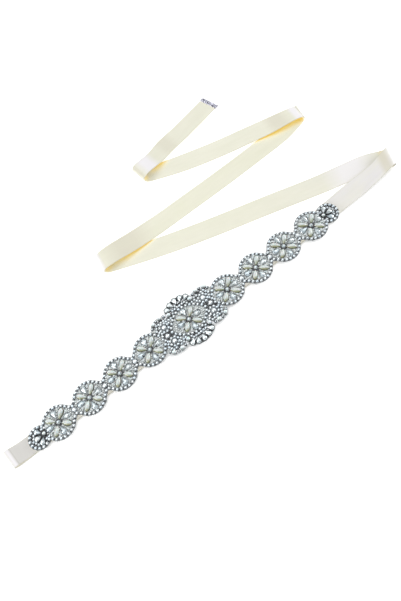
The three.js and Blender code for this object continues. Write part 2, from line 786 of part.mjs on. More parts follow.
// The fans at both ends: a pearl with three drops spread from it.
const fanPieces = [plate(4.6, 12, BASE_THICK).translate(4.2, 0, 0), pearlDome(0, 0)];
for (const turn of [-FAN_DROP.lean, 0, FAN_DROP.lean]) {
  fanPieces.push(dropStone(FAN_DROP, FAN_DROP.reach).rotateZ(THREE.MathUtils.degToRad(turn)));
}
const fan = joined(fanPieces);
const fanFrom = FAN_AT - 6.4;
add("fan_right", fan.clone(), COLOURS.crystal, 0.1, 0.3).position.set(fanFrom, bow(fanFrom), BEAD_BOTTOM);
const fanLeft = add("fan_left", fan.clone(), COLOURS.crystal, 0.1, 0.3);
fanLeft.position.set(-fanFrom, bow(fanFrom), BEAD_BOTTOM);
fanLeft.rotation.z = Math.PI;

export default sash;
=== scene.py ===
"""Bridal sash laid out on a pale table: ivory satin ribbon with a pearl and crystal applique along its waist.

The sizes below are millimetres in the object's own frame: X along the applique, Z up from the table.
"""

import math
import random

import bpy
import numpy as np
from mathutils import Matrix, Vector


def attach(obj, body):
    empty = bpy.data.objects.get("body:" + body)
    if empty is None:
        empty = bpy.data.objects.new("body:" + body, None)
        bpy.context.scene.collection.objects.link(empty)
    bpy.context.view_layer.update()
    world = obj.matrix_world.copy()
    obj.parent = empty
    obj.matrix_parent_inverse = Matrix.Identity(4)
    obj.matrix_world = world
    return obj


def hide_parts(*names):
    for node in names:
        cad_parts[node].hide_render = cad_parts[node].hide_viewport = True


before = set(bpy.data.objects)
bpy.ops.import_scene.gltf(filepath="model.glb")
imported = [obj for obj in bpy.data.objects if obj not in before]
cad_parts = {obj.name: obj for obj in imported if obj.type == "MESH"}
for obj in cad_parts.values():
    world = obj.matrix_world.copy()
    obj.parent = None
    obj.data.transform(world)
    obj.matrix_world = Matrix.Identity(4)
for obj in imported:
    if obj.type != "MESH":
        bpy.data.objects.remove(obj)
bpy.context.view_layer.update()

bl_info = {
    "name": "Bridal Sash",
    "version": (1, 0, 0),
    "blender": (4, 5, 0),
    "location": "View3D > Sidebar > Sash",
    "description": "Builds a satin bridal sash with a beaded applique",
    "category": "Object",
}

MM = 0.001

# RIBBON PATH

WIDTH = 25.0
TABLE_LEVEL = 0.5
WAIST_LEVEL = 2.39
LOW_LEVEL = 0.28

# Middle lines on the table as x, y and width: the waist, drawn in under the applique, then the runs of the tail.
WAIST_LINE = [
    (-205, -0.8, 20.4), (-165, -1.6, 17.2), (-110, -1.3, 16.2), (0, -1.3, 16.2), (110, -1, 16), (165, -0.6, 17.2),
    (200, 1.3, 21.4), (255, 2.4, 23.6), (285, 2.6, 21.4),
]
SECOND_LINE = [
    (284, 17.2, 27.5), (255, 26.4, 26), (222, 35.4, 25), (156, 56.2, 25), (88, 77.2, 25), (30, 97.2, 25),
]
THIRD_LINE = [(10, 123.6, 25), (70, 123, 25), (140, 122.1, 25), (200, 122.6, 25), (240, 124, 25)]
FOURTH_LINE = [(238, 139.4, 25), (205, 149.2, 25), (160, 161.3, 25), (122, 173.4, 25)]
FIFTH_LINE = [(96.5, 200.3, 23), (120, 208.6, 25), (150, 214.4, 25), (180, 220, 25)]
TIP = {"near": (205, 212.4, 0), "far": (198.2, 236.2, 0)}

# The glitter band over the cut end: distance past the end, height, how far it stands out past the edges.
GLITTER_BAND = [(-1.2, 0.7, 0.1), (-0.6, 1.0, 0.2), (4.2, 1.0, 0.2), (4.6, 0.6, 0.0)]
GLITTER_PITCH = 1.25

# Where the ribbon turns back: outermost x, y and the height of the bend at each edge, length of its slope.
TURNS = [
    {"near": (-238.2, -10.6, 4.6), "far": (-240, 11.2, 4.6), "reach": 0.34},
    {"near": (302, -6.1, 10), "far": (311.8, 17.7, 10), "reach": 0.85},
    {"near": (-40, 112.2, 9.5), "far": (-36.3, 135.1, 10.5), "reach": 1},
    {"near": (272.7, 117.8, 9), "far": (279.3, 139.7, 4), "reach": 1.05},
    {"near": (68.6, 182.4, 11), "far": (66.4, 205.7, 10), "reach": 0.85},
]
# Outline of a soft bend: distance back from its outermost line, share of its height.
LOWER_SIDE = [(0.9, 0.34), (3.2, 0.16), (7.5, 0.05), (14, 0.01), (24, 0)]
OUTERMOST = 0.56
UPPER_SIDE = [
    (1, 0.76), (4, 0.93), (9.5, 1), (17, 0.94), (27, 0.77),
    (39, 0.53), (53, 0.31), (68, 0.17), (84, 0.06), (98, 0),
]
# The left tail folded flat under the waist: height of each layer's middle.
FOLDED_LAYERS = [0.27, 0.82, 1.37]
FOLDED_ENDS = (-221.0, 203.0)

# APPLIQUE

# How far its middle line lies back from the ribbon's, and how far its ends lie forward of its middle.
SHIFT = 0.8
BOW = 1.7
FELT_BOTTOM = 2.72
FELT_TOP = 3.85
PITCH = 40.6
FIRST = 54.1
MEDALLIONS = [FIRST + PITCH * i for i in range(4)]
NECK_HALF = 6.6
NECKS = [FIRST - 24.2] + [x + PITCH / 2 for x in MEDALLIONS[:3]]
FLOWERS_AT = [0.0] + MEDALLIONS + [-x for x in MEDALLIONS]
FAN_AT = 200.6
FAN_RADIUS = 13.2
FAN_FROM = FAN_AT - 6.4
FAN_LEANS = (-47, 0, 47)
# Half the felt's outline, as distance along and across: the middle, and one medallion from its own middle.
CENTRE_OUTLINE = [
    (0, 31.2), (4.5, 31), (9, 29.8), (13.5, 28), (16.4, 24.6), (18.4, 22.6), (22, 23.9), (27, 24.6), (32, 24.3),
    (36.4, 23), (39.6, 19.6),
]
MEDALLION_OUTLINE = [(-17.4, 9), (-12.2, 15.2), (-5.4, 18.5), (0, 19.2), (5.4, 18.5), (12.2, 15.2), (17.4, 9)]
# A quarter of the edging round the middle flower.
CENTRE_RING = [(23.2, 0), (21.4, 4.4), (16.6, 9.6), (10.2, 14), (4.4, 16.4), (0, 16.9)]
# One lobe: its rim, the pearls on the rim and the middle of its rosette. QUARTERS gives the signs of all four.
LOBE_RIM = [(14.6, 18.2), (19.4, 20.9), (25.4, 21.9), (30.8, 21.9), (35.4, 20.2), (38.4, 16.9)]
LOBE_PEARLS = [(14.6, 18.2), (25.4, 21.9), (35.4, 20.2)]
ROSETTE = (27.2, 10)
QUARTERS = {"upper_right": (1, 1), "upper_left": (-1, 1), "lower_left": (-1, -1), "lower_right": (1, -1)}
# The crown's drops: along, across and lean in degrees.
CROWN = [(-12, 23.4, -52), (-6.3, 26, -27), (0, 27, 0), (6.3, 26, 27), (12, 23.4, 52)]

# Radii of the metal plates under flowers and stones, and their usual height. Most are dark, which also paints
# the shade between petals and stones.
PLATE = 0.4
FLOWER_PLATE, NECK_PLATE, ROSETTE_PLATE, FAN_PLATE, FILLER_PLATE = 4.4, 3.6, 6.6, 7.2, 2.1
# Length, width and height of a pearl petal, its bed (a dark sheet a little larger than the pearl, a painted
# shadow round it), a petal bead and the slab under a crown's drop.
PEARL, PEARL_SHADOW_BED, PETAL_BEAD, CROWN_SLAB = (12.5, 5.9, 3.2), (12.7, 6.4, 0.4), (6.4, 3.0, 1.5), (7.4, 4.6, 0.5)
# How far these lie from the middle of their flower, rosette or fan.
PEARLS_AT, DROPS_AT, PETAL_BEADS_AT, ROSETTE_RING_AT, FAN_DROPS_AT = 9.1, 9.9, 12.3, 5.1, 7.8
# Radii of the round pearls.
LOBE_PEARL, FAN_PEARL = 2.5, 2.1
# The stones on a lobe's rim: width of the band under them, their spacing, and how clear they stay of its pearls.
LOBE_BAND, LOBE_PITCH, LOBE_PEARL_ROOM = 4.2, 3.2, 3.7
# The edging: how far its stones and the wire outside them lie in from the felt's edge, and their widths.
EDGING_INSET, EDGING_BAND = 2.0, 2.0
WIRE_INSET, WIRE_WIDTH = 1.7, 0.3
BAND_STEP, BAND_PIECE = 1.5, 1.9
# The stones and beads between: spacing, distance from the outline, room round each, and the step between rows.
FILLER_PITCH, FILLER_MARGIN, FILLER_ROOM = 3.3, 1.9, 0.9
BEAD_MARGIN, BEAD_ROOM = 1.1, 0.25
ROW_STEP = 0.87
# What pearls, drops and a fan's drops cover of the felt, as circles: distance from the middle and radius.
PEARL_SPOTS = [(6.2, 1.7), (9.5, 2.5), (12.4, 2.9)]
DROP_SPOTS = [(8.4, 2.0), (11.6, 3.1)]
FAN_SPOTS = [(5.4, 1.9), (9.0, 2.9)]


# SETTINGS


class SashSettings(bpy.types.PropertyGroup):
    """Sizes and colours of the sash."""

    thickness: bpy.props.FloatProperty(
        name="Ribbon thickness", description="Thickness of the satin", default=0.42 * MM, unit="LENGTH"
    )
    cupping: bpy.props.FloatProperty(
        name="Ribbon cupping", description="How far the edges stand off flat", default=0.25 * MM, unit="LENGTH"
    )
    satin: bpy.props.FloatVectorProperty(
        name="Satin", description="Colour of the ribbon", subtype="COLOR", default=(0.557, 0.551, 0.4445)
    )
    pearl: bpy.props.FloatVectorProperty(
        name="Pearl", description="Colour of the pearls", subtype="COLOR", default=(0.44, 0.475, 0.455)
    )
    crystal: bpy.props.FloatVectorProperty(
        name="Crystal", description="Colour of the foiled stones", subtype="COLOR", default=(0.70, 0.76, 0.79)
    )
    silver: bpy.props.FloatVectorProperty(
        name="Silver", description="Colour of the stone cups", subtype="COLOR", default=(0.46, 0.48, 0.50)
    )
    felt: bpy.props.FloatVectorProperty(
        name="Felt", description="Colour of the backing", subtype="COLOR", default=(0.50, 0.53, 0.53)
    )
    stone_pitch: bpy.props.FloatProperty(
        name="Edging pitch", description="From stone to stone of the edging", default=4.7 * MM, unit="LENGTH"
    )
    filler_pitch: bpy.props.FloatProperty(
        name="Filler pitch", description="From one small sewn bead to the next", default=2.5 * MM, unit="LENGTH"
    )


class StageSettings(bpy.types.PropertyGroup):
    """Table and light."""

    table: bpy.props.FloatVectorProperty(
        name="Table", description="Colour of the table", subtype="COLOR", default=(0.9, 0.9, 0.9)
    )
    key: bpy.props.FloatProperty(
        name="Key light", description="Power of the large light overhead", default=14.0, unit="POWER"
    )
    sides: bpy.props.FloatProperty(
        name="Side lights", description="Power of each low side light", default=9.0, unit="POWER"
    )
    fill: bpy.props.FloatProperty(
        name="Fill", description="Strength of the light from all round", default=0.75, min=0.0
    )


# MATERIALS


class Value:
    """A number inside a material, for use in sums."""

    def __init__(self, paint, socket):
        self.paint, self.socket = paint, socket

    def _sum(self, operation, *parts):
        return self.paint.node("ShaderNodeMath", {"operation": operation}, dict(enumerate(parts)))

    def __add__(self, other):
        return self._sum("ADD", self, other)

    def __radd__(self, other):
        return self._sum("ADD", other, self)

    def __sub__(self, other):
        return self._sum("SUBTRACT", self, other)

    def __rsub__(self, other):
        return self._sum("SUBTRACT", other, self)

    def __mul__(self, other):
        return self._sum("MULTIPLY", self, other)

    def __rmul__(self, other):
        return self._sum("MULTIPLY", other, self)

    def absolute(self):
        return self._sum("ABSOLUTE", self)

    def sine(self):
        return self._sum("SINE", self)

    def between(self, low, high):
        """0 below low, 1 above high, even between."""
        return self.paint.node(
            "ShaderNodeMapRange", {"clamp": True}, {"Value": self, "From Min": low, "From Max": high}
        )


class Paint:
    """Builds the nodes of one material or of the world."""

    def __init__(self, name, world=False):
        self.material = (bpy.data.worlds if world else bpy.data.materials).new(name)
        self.material.use_nodes = True
        self.tree = self.material.node_tree
        self.tree.nodes.clear()
        self.output = self.tree.nodes.new("ShaderNodeOutputWorld" if world else "ShaderNodeOutputMaterial")

    def node(self, kind, settings=None, inputs=None, out=0):
        """A node with its settings set first, then socket values or links, as the Value of one output."""
        node = self.tree.nodes.new(kind)
        for key, value in (settings or {}).items():
            setattr(node, key, value)
        for key, value in (inputs or {}).items():
            socket = node.inputs[key]
            if isinstance(value, Value):
                self.tree.links.new(value.socket, socket)
            else:
                socket.default_value = value
        return Value(self, node.outputs[out])

    def place(self):
        return self.node("ShaderNodeTexCoord", out="Object")

    def flat(self):
        return self.node("ShaderNodeTexCoord", out="UV")

    def facing(self):
        """The way the surface faces, bumps left out."""
        return self.node("ShaderNodeNewGeometry", out="Normal")

    def part(self, vector, axis):
        """The X, Y or Z of a vector, for axis 0, 1 or 2."""
        return self.node("ShaderNodeSeparateXYZ", None, {0: vector}, axis)

    def stretched(self, where, scale):
        return self.node("ShaderNodeVectorMath", {"operation": "MULTIPLY"}, {0: where, 1: scale})

    def noise(self, where, scale, detail=3.0, roughness=0.5):
        inputs = {"Vector": where, "Scale": scale, "Detail": detail, "Roughness": roughness}
        return self.node("ShaderNodeTexNoise", None, inputs)

    def cells(self, where, scale):
        return self.node("ShaderNodeTexVoronoi", None, {"Vector": where, "Scale": scale}, "Color")

    def each_piece(self):
        """A number from 0 to 1 that differs from bead to bead."""
        return self.node("ShaderNodeNewGeometry", out="Random Per Island")

    def blend(self, share, one, other):
        """Colours mixed by a share."""
        return self.node("ShaderNodeMix", {"data_type": "RGBA"}, {0: share, 6: one, 7: other}, 2)

    def bump(self, height, depth, strength, over=None):
        """A bump that feeds Normal, on top of another where one is given."""
        inputs = {"Height": height, "Distance": depth, "Strength": strength}
        return self.node("ShaderNodeBump", None, {**inputs, "Normal": over} if over else inputs)

    def surface(self, **inputs):
        named = {key.replace("_", " ").title(): value for key, value in inputs.items()}
        return self.node("ShaderNodeBsdfPrincipled", None, {SOCKETS.get(k, k): v for k, v in named.items()})

    def done(self, shader):
        self.tree.links.new(shader.socket, self.output.inputs["Surface"])
        return self.material


SOCKETS = {"Ior": "IOR", "Specular Ior Level": "Specular IOR Level"}


def rgba(colour, share=1.0, tint=(1.0, 1.0, 1.0)):
    return (*(c * t * share for c, t in zip(colour, tint)), 1.0)


# Metres from the ribbon's middle line over which its firmer woven edge begins.
SELVEDGE = (0.0117, 0.0122)
# Painted light and shade: how the ribbon's tone changes from stretch to stretch with the light on it,
# from the hidden tail to the glitter tip.
STRETCH_LIGHT_TONES = [
    (0.84, 0.86, 0.98), (0.974, 0.962, 1.205), (1, 1, 1.02), (1, 1, 1), (1.01, 1.01, 1.05), (0.98, 0.98, 1.02),
]
# Painted light and shade round the bends: painted shade where the satin turns from the light, painted highlight
# where it catches it, painted gold light inside the first bend, a grey painted shade at the left end and thin
# painted shadow lines along a bend's edge. For each band: the turn, millimetres past its outermost line where it
# starts and ends, and how strong it is.
PAINTED_LIGHT_BANDS = {
    "shade": [(1, -26, -7, 0.9), (2, 2, 80, 0.7), (3, 16, 50, 0.6), (4, 0, 8, 0.5), (4, 45, 75, 0.5)],
    "cool_painted_light": [(0, -14, 62, 1.1)],
    "golden_light": [(1, 2, 16, 0.55)],
    "shine": [
        (0, 2, 7.4, 1.1), (1, -8, 0.8, 0.9), (1, 16, 88, 0.8), (2, -2, 7, 0.8), (3, 1, 15, 1.1), (4, 6, 34, 1.1),
    ],
    "line": [(0, 7.2, 8.6, 0.4), (1, -3.2, -1.4, 1.0), (3, 1.4, 3.0, 0.8)],
}
# The painted colour of each kind of band.
PAINTED_LIGHT_TONES = {
    "shade": (0.475, 0.45, 0.37), "cool_painted_light": (0.46, 0.45, 0.43), "golden_light": (0.60, 0.50, 0.27),
    "shine": (0.61, 0.595, 0.61), "line": (0.30, 0.28, 0.25),
}


def satin_paint(name, colour, turns_at):
    """Smooth satin: long floats along the ribbon, faint soft mottling, a firmer selvedge at each edge.

    Each stretch has its own painted tone of light. Each bend has its own painted bands of shade, highlight and
    gold light, some with a thin painted shadow line. Where the cloth shades itself inside a bend, a painted glow
    stands in for the light that comes through it and lifts the shade, with a painted gold tint on the face that
    lies up.
    """
    p = Paint(name)
    flat = p.flat()
    across, along = p.part(flat, 0), p.part(flat, 1)
    faces_up = p.part(p.facing(), 2)
    open_air = p.node("ShaderNodeAmbientOcclusion", {"samples": 6}, {"Distance": 0.011}, 1)
    floats = p.noise(p.stretched(flat, (5200.0, 420.0, 1.0)), 1.0, 2.0)
    slub = p.noise(p.stretched(flat, (260.0, 34.0, 1.0)), 1.0, 3.0)
    cloud = p.noise(p.stretched(flat, (60.0, 22.0, 1.0)), 1.0, 2.0)
    selvedge = (across - 0.5 * WIDTH * MM).absolute().between(*SELVEDGE)
    rib = (across * 9000.0).sine() * selvedge
    # Painted light: each stretch gets its own tone of the light on it.
    tone = rgba(colour, tint=STRETCH_LIGHT_TONES[0])
    for turn_at, next_tone in zip(turns_at, STRETCH_LIGHT_TONES[1:]):
        tone = p.blend(along.between(turn_at - 0.004, turn_at + 0.004), tone, rgba(colour, tint=next_tone))
    tail_from = turns_at[1]
    # Painted bluish light where the run past the first bend begins.
    cool_painted_light = along.between(tail_from + 0.19, tail_from + 0.04) * along.between(tail_from, tail_from + 0.01)
    tone = p.blend(cool_painted_light * 0.7, tone, rgba(colour, tint=(0.99, 0.98, 1.14)))
    tone = p.blend(cloud.between(0.35, 0.65) * 0.5, tone, rgba(colour, tint=(1.05, 1.04, 1.10)))
    tone = p.blend(slub.between(0.35, 0.75) * 0.35, tone, rgba(colour, 0.93))
    # Painted bands of light and shade round each bend, each kind mixed in with its own colour.
    for kind, band_tone in PAINTED_LIGHT_TONES.items():
        amount = 0.0
        for turn, start, end, share in PAINTED_LIGHT_BANDS[kind]:
            middle, half = turns_at[turn] + (start + end) / 2 * MM, (end - start) / 2 * MM
            amount = (along - middle).absolute().between(half, half * 0.3) * share + amount
        tone = p.blend(amount * (0.75 + 0.4 * cloud), tone, rgba(band_tone))
    tone = p.blend(selvedge * 0.6, tone, rgba(colour, 0.74))
    # Painted light from the occlusion: a painted glow lifts the shade inside the bends, and past the first bend a
    # painted gold tint marks the shaded faces that lie up.
    tail = along.between(tail_from + 0.05, tail_from + 0.09)
    inside = 1.0 - (1.0 - faces_up.between(0.6, 0.85)) * (1.0 - tail * open_air.between(0.9, 0.6))
    dim = (open_air - 0.14 * tail).between(0.80, 0.40) * inside
    shaded = open_air.between(0.84, 0.45) * tail * faces_up.between(0.6, 0.85)
    tone = p.blend(shaded, tone, (0.7, 0.5, 0.1, 1.0))
    glow = p.blend(dim, (0.0, 0.0, 0.0, 1.0), (0.40, 0.37, 0.27, 1.0))
    glow = p.blend(shaded, glow, (0.17, 0.12, 0.01, 1.0))
    fine = p.bump(floats * 0.6 + rib * 0.3, 0.00002, 0.35)
    soft = p.bump(slub, 0.00012, 0.3, fine)
    cloth = p.surface(
        base_color=tone,
        roughness=0.36 + 0.1 * slub,
        anisotropic=0.45,
        sheen_weight=0.15,
        sheen_roughness=0.4,
        specular_ior_level=0.4,
        emission_color=glow,
        emission_strength=1.0,
        normal=soft,
    )
    return p.done(cloth)


def pearl_paint(name, colour, low):
    """Pearl lustre under a clear coat: painted highlight on one flank, painted shade on the other, each its own
    tint.
    """
    p = Paint(name)
    own = p.each_piece()
    cloud = p.noise(p.place(), 420.0, 2.0)
    to_right, to_back, faces_up = [p.part(p.facing(), axis) for axis in range(3)]
    lit_side = 0.61 * to_right + 0.79 * to_back
    tone = p.blend(own * 0.5, rgba(colour), rgba(colour, tint=(0.9, 0.96, 1.12)))
    tone = p.blend(cloud.between(0.35, 0.7) * 0.4, tone, rgba(colour, 1.1))
    # Painted highlight on the flank toward the light, painted shade on the far flank and where the pearl faces
    # down.
    tone = p.blend(lit_side.between(0.1, 0.45) * 0.6, tone, rgba(colour, 1.5))
    tone = p.blend(lit_side.between(-0.15, -0.65), tone, rgba(low))
    tone = p.blend(faces_up.between(0.6, 0.2), tone, rgba(low, 0.7))
    return p.done(
        p.surface(
            base_color=tone,
            roughness=0.2 + 0.12 * cloud,
            coat_weight=0.6,
            coat_roughness=0.08,
            subsurface_weight=0.1,
            subsurface_scale=0.001,
            sheen_weight=0.1,
            normal=p.bump(cloud, 0.00004, 0.2),
        )
    )


def facet_paint(name, colour):
    """One kind of painted facet reflection on foiled cut glass, its tint a little different in each stone."""
    p = Paint(name)
    own = p.each_piece()
    # Paler specks over the facets, which also give a faint bump.
    specks = p.noise(p.place(), 1100.0, 1.0)
    tone = p.blend(own * 0.6, rgba(colour), rgba(colour, tint=(0.8, 0.93, 1.05)))
    tone = p.blend(specks.between(0.52, 0.7) * 0.35, tone, (0.9, 0.93, 0.93, 1.0))
    return p.done(
        p.surface(
            base_color=tone,
            metallic=0.35,
            roughness=0.07 + 0.1 * own,
            coat_weight=1.0,
            coat_roughness=0.03,
            normal=p.bump(specks, 0.0001, 0.3),
        )
    )


def silver_paint(name, colour):
    """Silver-plated cups, darker in random patches where the plating is worn."""
    p = Paint(name)
    wear = p.noise(p.place(), 600.0, 3.0)
    tone = p.blend(wear.between(0.35, 0.7), rgba(colour, 0.75), rgba(colour, 1.05))
    return p.done(
        p.surface(base_color=tone, metallic=1.0, roughness=0.2 + 0.2 * wear, normal=p.bump(wear, 0.00005, 0.3))
    )


def dark_setting_and_shadow_paint(name):
    """Near-black metal under petals and stones; partly painted shadow round pearls and drops and in the gaps."""
    p = Paint(name)
    wear = p.noise(p.place(), 500.0, 2.0)
    tone = p.blend(wear.between(0.35, 0.65), (0.012, 0.013, 0.016, 1.0), (0.09, 0.095, 0.1, 1.0))
    return p.done(p.surface(base_color=tone, metallic=0.6, roughness=0.35 + 0.2 * wear))


def seed_bead_paint(name, colour):
    """Tiny glass beads lined with silver."""
    p = Paint(name)
    own = p.each_piece()
    tone = p.blend(own, rgba(colour, 0.85), rgba(colour, 1.2))
    return p.done(
        p.surface(base_color=tone, metallic=0.2, roughness=0.2 + 0.2 * own, coat_weight=0.6, coat_roughness=0.08)
    )


def felt_paint(name, colour):
    """Matt felt with short fibres."""
    p = Paint(name)
    fibres = p.noise(p.stretched(p.place(), (2600.0, 1300.0, 2600.0)), 1.0, 4.0, 0.7)
    tone = p.blend(fibres.between(0.3, 0.7), rgba(colour, 0.85), rgba(colour, 1.1))
    nap = p.bump(fibres, 0.00012, 0.8)
    return p.done(p.surface(base_color=tone, roughness=0.9, sheen_weight=0.4, normal=nap))


def glitter_paint(name):
    """Silver glitter: each flake painted light or near black, a painted glint or dark, with its own tilt in the
    bump.
    """
    p = Paint(name)
    flakes = p.cells(p.place(), 850.0)
    share = p.node("ShaderNodeSeparateColor", None, {0: flakes}, 0)
    tone = p.blend(share.between(0.3, 0.75), (0.07, 0.07, 0.1, 1.0), (0.75, 0.75, 0.84, 1.0))
    return p.done(
        p.surface(base_color=tone, metallic=0.3, roughness=0.2 + 0.35 * share, normal=p.bump(share, 0.0002, 1.0))
    )


def table_paint(name, colour):
    """A plain pale table top with the faintest grain."""
    p = Paint(name)
    grain = p.noise(p.place(), 40.0, 4.0)
    tone = p.blend(grain.between(0.3, 0.7), rgba(colour, 0.995), rgba(colour, 1.0))
    return p.done(
        p.surface(
            base_color=tone,
            roughness=0.7 + 0.05 * grain,
            specular_ior_level=0.2,
            emission_color=(1.0, 1.0, 1.0, 1.0),
            emission_strength=0.22,
        )
    )


PAINTS = {}
# Facet tones are painted reflections: a stone's facets, white to dark, stand in for the light they catch.
PAINTED_FACETS = {
    "white facet": (0.74, 0.78, 0.79),
    "pale facet": (0.46, 0.51, 0.52),
    "grey facet": (0.25, 0.28, 0.29),
    "dark facet": (0.04, 0.045, 0.06),
}


def paint(name):
    """The material of that name, made once from the settings."""
    if name not in PAINTS:
        s = bpy.context.scene.sash
        stage = bpy.context.scene.sash_stage
        make = {
            "satin ribbon": lambda: satin_paint("satin ribbon", s.satin, turns_along()),
            # The last colour of each pearl paint, the pale glass too, is its painted shade.
            "cream pearl": lambda: pearl_paint("cream pearl", s.pearl, (0.24, 0.25, 0.14)),
            "white pearl": lambda: pearl_paint("white pearl", (0.58, 0.64, 0.63), (0.2, 0.23, 0.23)),
            "silver cup": lambda: silver_paint("silver cup", s.silver),
            "dark setting": lambda: dark_setting_and_shadow_paint("dark setting"),
            "seed bead": lambda: seed_bead_paint("seed bead", s.felt),
            "pale glass": lambda: pearl_paint("pale glass", (0.42, 0.46, 0.46), (0.34, 0.37, 0.37)),
            "felt backing": lambda: felt_paint("felt backing", s.felt),
            "silver glitter": lambda: glitter_paint("silver glitter"),
            "pale table": lambda: table_paint("pale table", stage.table),
        }
        for facet, tone in PAINTED_FACETS.items():
            shade = rgba(s.crystal, tint=[own / plain for own, plain in zip(tone, (0.70, 0.76, 0.79))])
            make[facet] = lambda facet=facet, shade=shade: facet_paint(facet, shade)
        PAINTS[name] = make[name]()
    return PAINTS[name]


# SHAPES


class Tray:
    """Collects small shapes for one piece, each with its paint, and makes the piece.

    Pieces of the applique bow with it: its ends lie a little nearer to the viewer than its middle.
    """

    def __init__(self, bow=BOW):
        self.bow = bow
        self.points, self.faces, self.paints, self.smooth, self.names = [], [], [], [], []

    def lay(self, shape, name, x=0.0, y=0.0, z=0.0, turn=0.0, smooth=False):
        """Lays a copy of a shape, in millimetres, turned about Z. A list of paints goes round its faces."""
        points, faces = shape
        names = [name] if isinstance(name, str) else name
        self.names += [each for each in dict.fromkeys(names) if each not in self.names]
        c, s = math.cos(turn), math.sin(turn)
        start = len(self.points)
        self.points += [(x + c * p[0] - s * p[1], y + s * p[0] + c * p[1], z + p[2]) for p in points]
        self.faces += [tuple(start + i for i in face) for face in faces]
        self.paints += [self.names.index(names[i % len(names)]) for i in range(len(faces))]
        self.smooth += [smooth] * len(faces)

    def piece(self, name):
        mesh = bpy.data.meshes.new(name)
        bowed = [(x, y - self.bow * (x / FAN_AT) ** 2, z) for x, y, z in self.points]
        mesh.from_pydata([(x * MM, y * MM, z * MM) for x, y, z in bowed], [], self.faces)
        for each in self.names:
            mesh.materials.append(paint(each))
        mesh.polygons.foreach_set("material_index", self.paints)
        mesh.polygons.foreach_set("use_smooth", self.smooth)
        mesh.update()
        obj = bpy.data.objects.new(name, mesh)
        bpy.context.scene.collection.objects.link(obj)
        return obj


def around(x, y, reach, angle):
    """The place at a distance and an angle from another place."""
    return x + reach * math.cos(angle), y + reach * math.sin(angle)


def rings_shape(rings):
    """A shape through rings of equal length, from the lowest up, with a face at each end."""
    count = len(rings[0])
    points = [p for ring in rings for p in ring]
    faces = []
    for a in range(0, (len(rings) - 1) * count, count):
        for k in range(count):
            n = (k + 1) % count
            faces.append((a + k, a + n, a + count + n, a + count + k))
    faces.append(tuple(reversed(range(count))))
    faces.append(tuple(range((len(rings) - 1) * count, len(rings) * count)))
    return points, faces


def circle(radius, z, sides, turn=0.0):
    return [(*around(0, 0, radius, turn + 2 * math.pi * k / sides), z) for k in range(sides)]


def disc(radius, height, sides=16):
    return rings_shape([circle(radius, 0, sides), circle(radius * 0.96, height, sides)])


def slab(length, width, height):
    """A flat box that sits on z 0."""
    x, y = length / 2, width / 2
    corners = [(-x, -y), (x, -y), (x, y), (-x, y)]
    return rings_shape([[(a, b, 0) for a, b in corners], [(a, b, height) for a, b in corners]])


def round_stone(radius, height, sides=8):
    """A round cut stone: kite facets rise from its rim to a flat table."""
    half = math.pi / sides
    profile = [(1, 0, 0), (1, 0.3, 0), (0.84, 0.72, half), (0.5, 1, 0), (0.16, 0.98, 0)]
    return rings_shape([circle(radius * out, height * up, sides, turn) for out, up, turn in profile])


def cup(radius, height, wall, sides=10):
    """An open metal cup round a stone."""
    profile = [(wall, 0), (wall, 0.8), (wall * 0.5, 1), (-wall * 0.3, 0.86), (-wall * 0.3, 0.3)]
    return rings_shape([circle(radius + out, height * up, sides) for out, up in profile])


def ball(radius, rows, sides, flat=1.0):
    """A pearl or bead that sits on z 0."""
    rings = []
    for i in range(rows + 1):
        angle = -math.pi / 2 + math.pi * (i + 0.35) / (rows + 0.7)
        rings.append(circle(radius * math.cos(angle), radius * flat * (1 + math.sin(angle)), sides))
    return rings_shape(rings)


def pearl_petal(length, width, height, steps=11, sides=9):
    """A long pearl, narrow towards the flower's middle and full towards its outer end, its back rounded."""
    rings = []
    for i in range(steps + 1):
        t = (i + 0.2) / (steps + 0.4)
        wide = math.sin(math.pi * t**1.35) ** 0.62
        ring = []
        for k in range(sides):
            angle = math.pi * k / (sides - 1)
            side, up = -0.5 * width * wide * math.cos(angle), height * (wide**0.8) * math.sin(angle) ** 0.85
            ring.append((length * (t - 0.5), side, up))
        rings.append(ring)
    return rings_shape(rings)


# Outline of a pear-shaped stone of length and width 1, from its point round its full end and back.
DROP = [
    (-0.5, 0), (-0.34, -0.15), (-0.16, -0.3), (0.04, -0.43), (0.22, -0.5), (0.38, -0.4), (0.48, -0.2), (0.5, 0),
    (0.48, 0.2), (0.38, 0.4), (0.22, 0.5), (0.04, 0.43), (-0.16, 0.3), (-0.34, 0.15),
]


def drop_shape(length, width, height, profile):
    """A pear-shaped solid: the share of its outline and of its height at each level, from the lowest up."""
    middle = 0.1 * length
    rings = []
    for out, up in profile:
        rings.append([(middle + (x * length - middle) * out, y * width * out, height * up) for x, y in DROP])
    return rings_shape(rings)


def drop_stone(length, width, height):
    """A pear-shaped cut stone with a table."""
    return drop_shape(length, width, height, [(1.0, 0), (1.0, 0.35), (0.78, 0.75), (0.45, 1), (0.14, 0.97)])


def drop_cup(length, width, height, wall):
    """The metal setting round a pear-shaped stone."""
    out = 1 + 2 * wall / width
    return drop_shape(length, width, height, [(out, 0), (out, 0.8), (1.02, 1), (0.94, 0.5)])


# The painted reflection on each facet round a stone, one of these letters for each of its sides.
SHADES = {"w": "white facet", "p": "pale facet", "g": "grey facet", "d": "dark facet"}
# Round stones: radius, height, the painted facet reflections round them and the metal of their cups.
ROUND_STONES = {
    "edging": (1.55, 2.2, "wwpwwwpg", "silver cup"),
    "flower": (1.8, 2.6, "pppwpppg", "pale glass"),
    "neck": (2.5, 2.6, "wwpwwpwg", "silver cup"),
    "rosette middle": (2.8, 3.2, "wwpwgwwp", "silver cup"),
    "rosette ring": (1.5, 1.9, "wwppwwgp", "silver cup"),
    "lobe rim": (1.3, 2.1, "wwpwwpgd", "dark setting"),
    "filler": (1.35, 1.6, "wwppwgpw", "silver cup"),
}
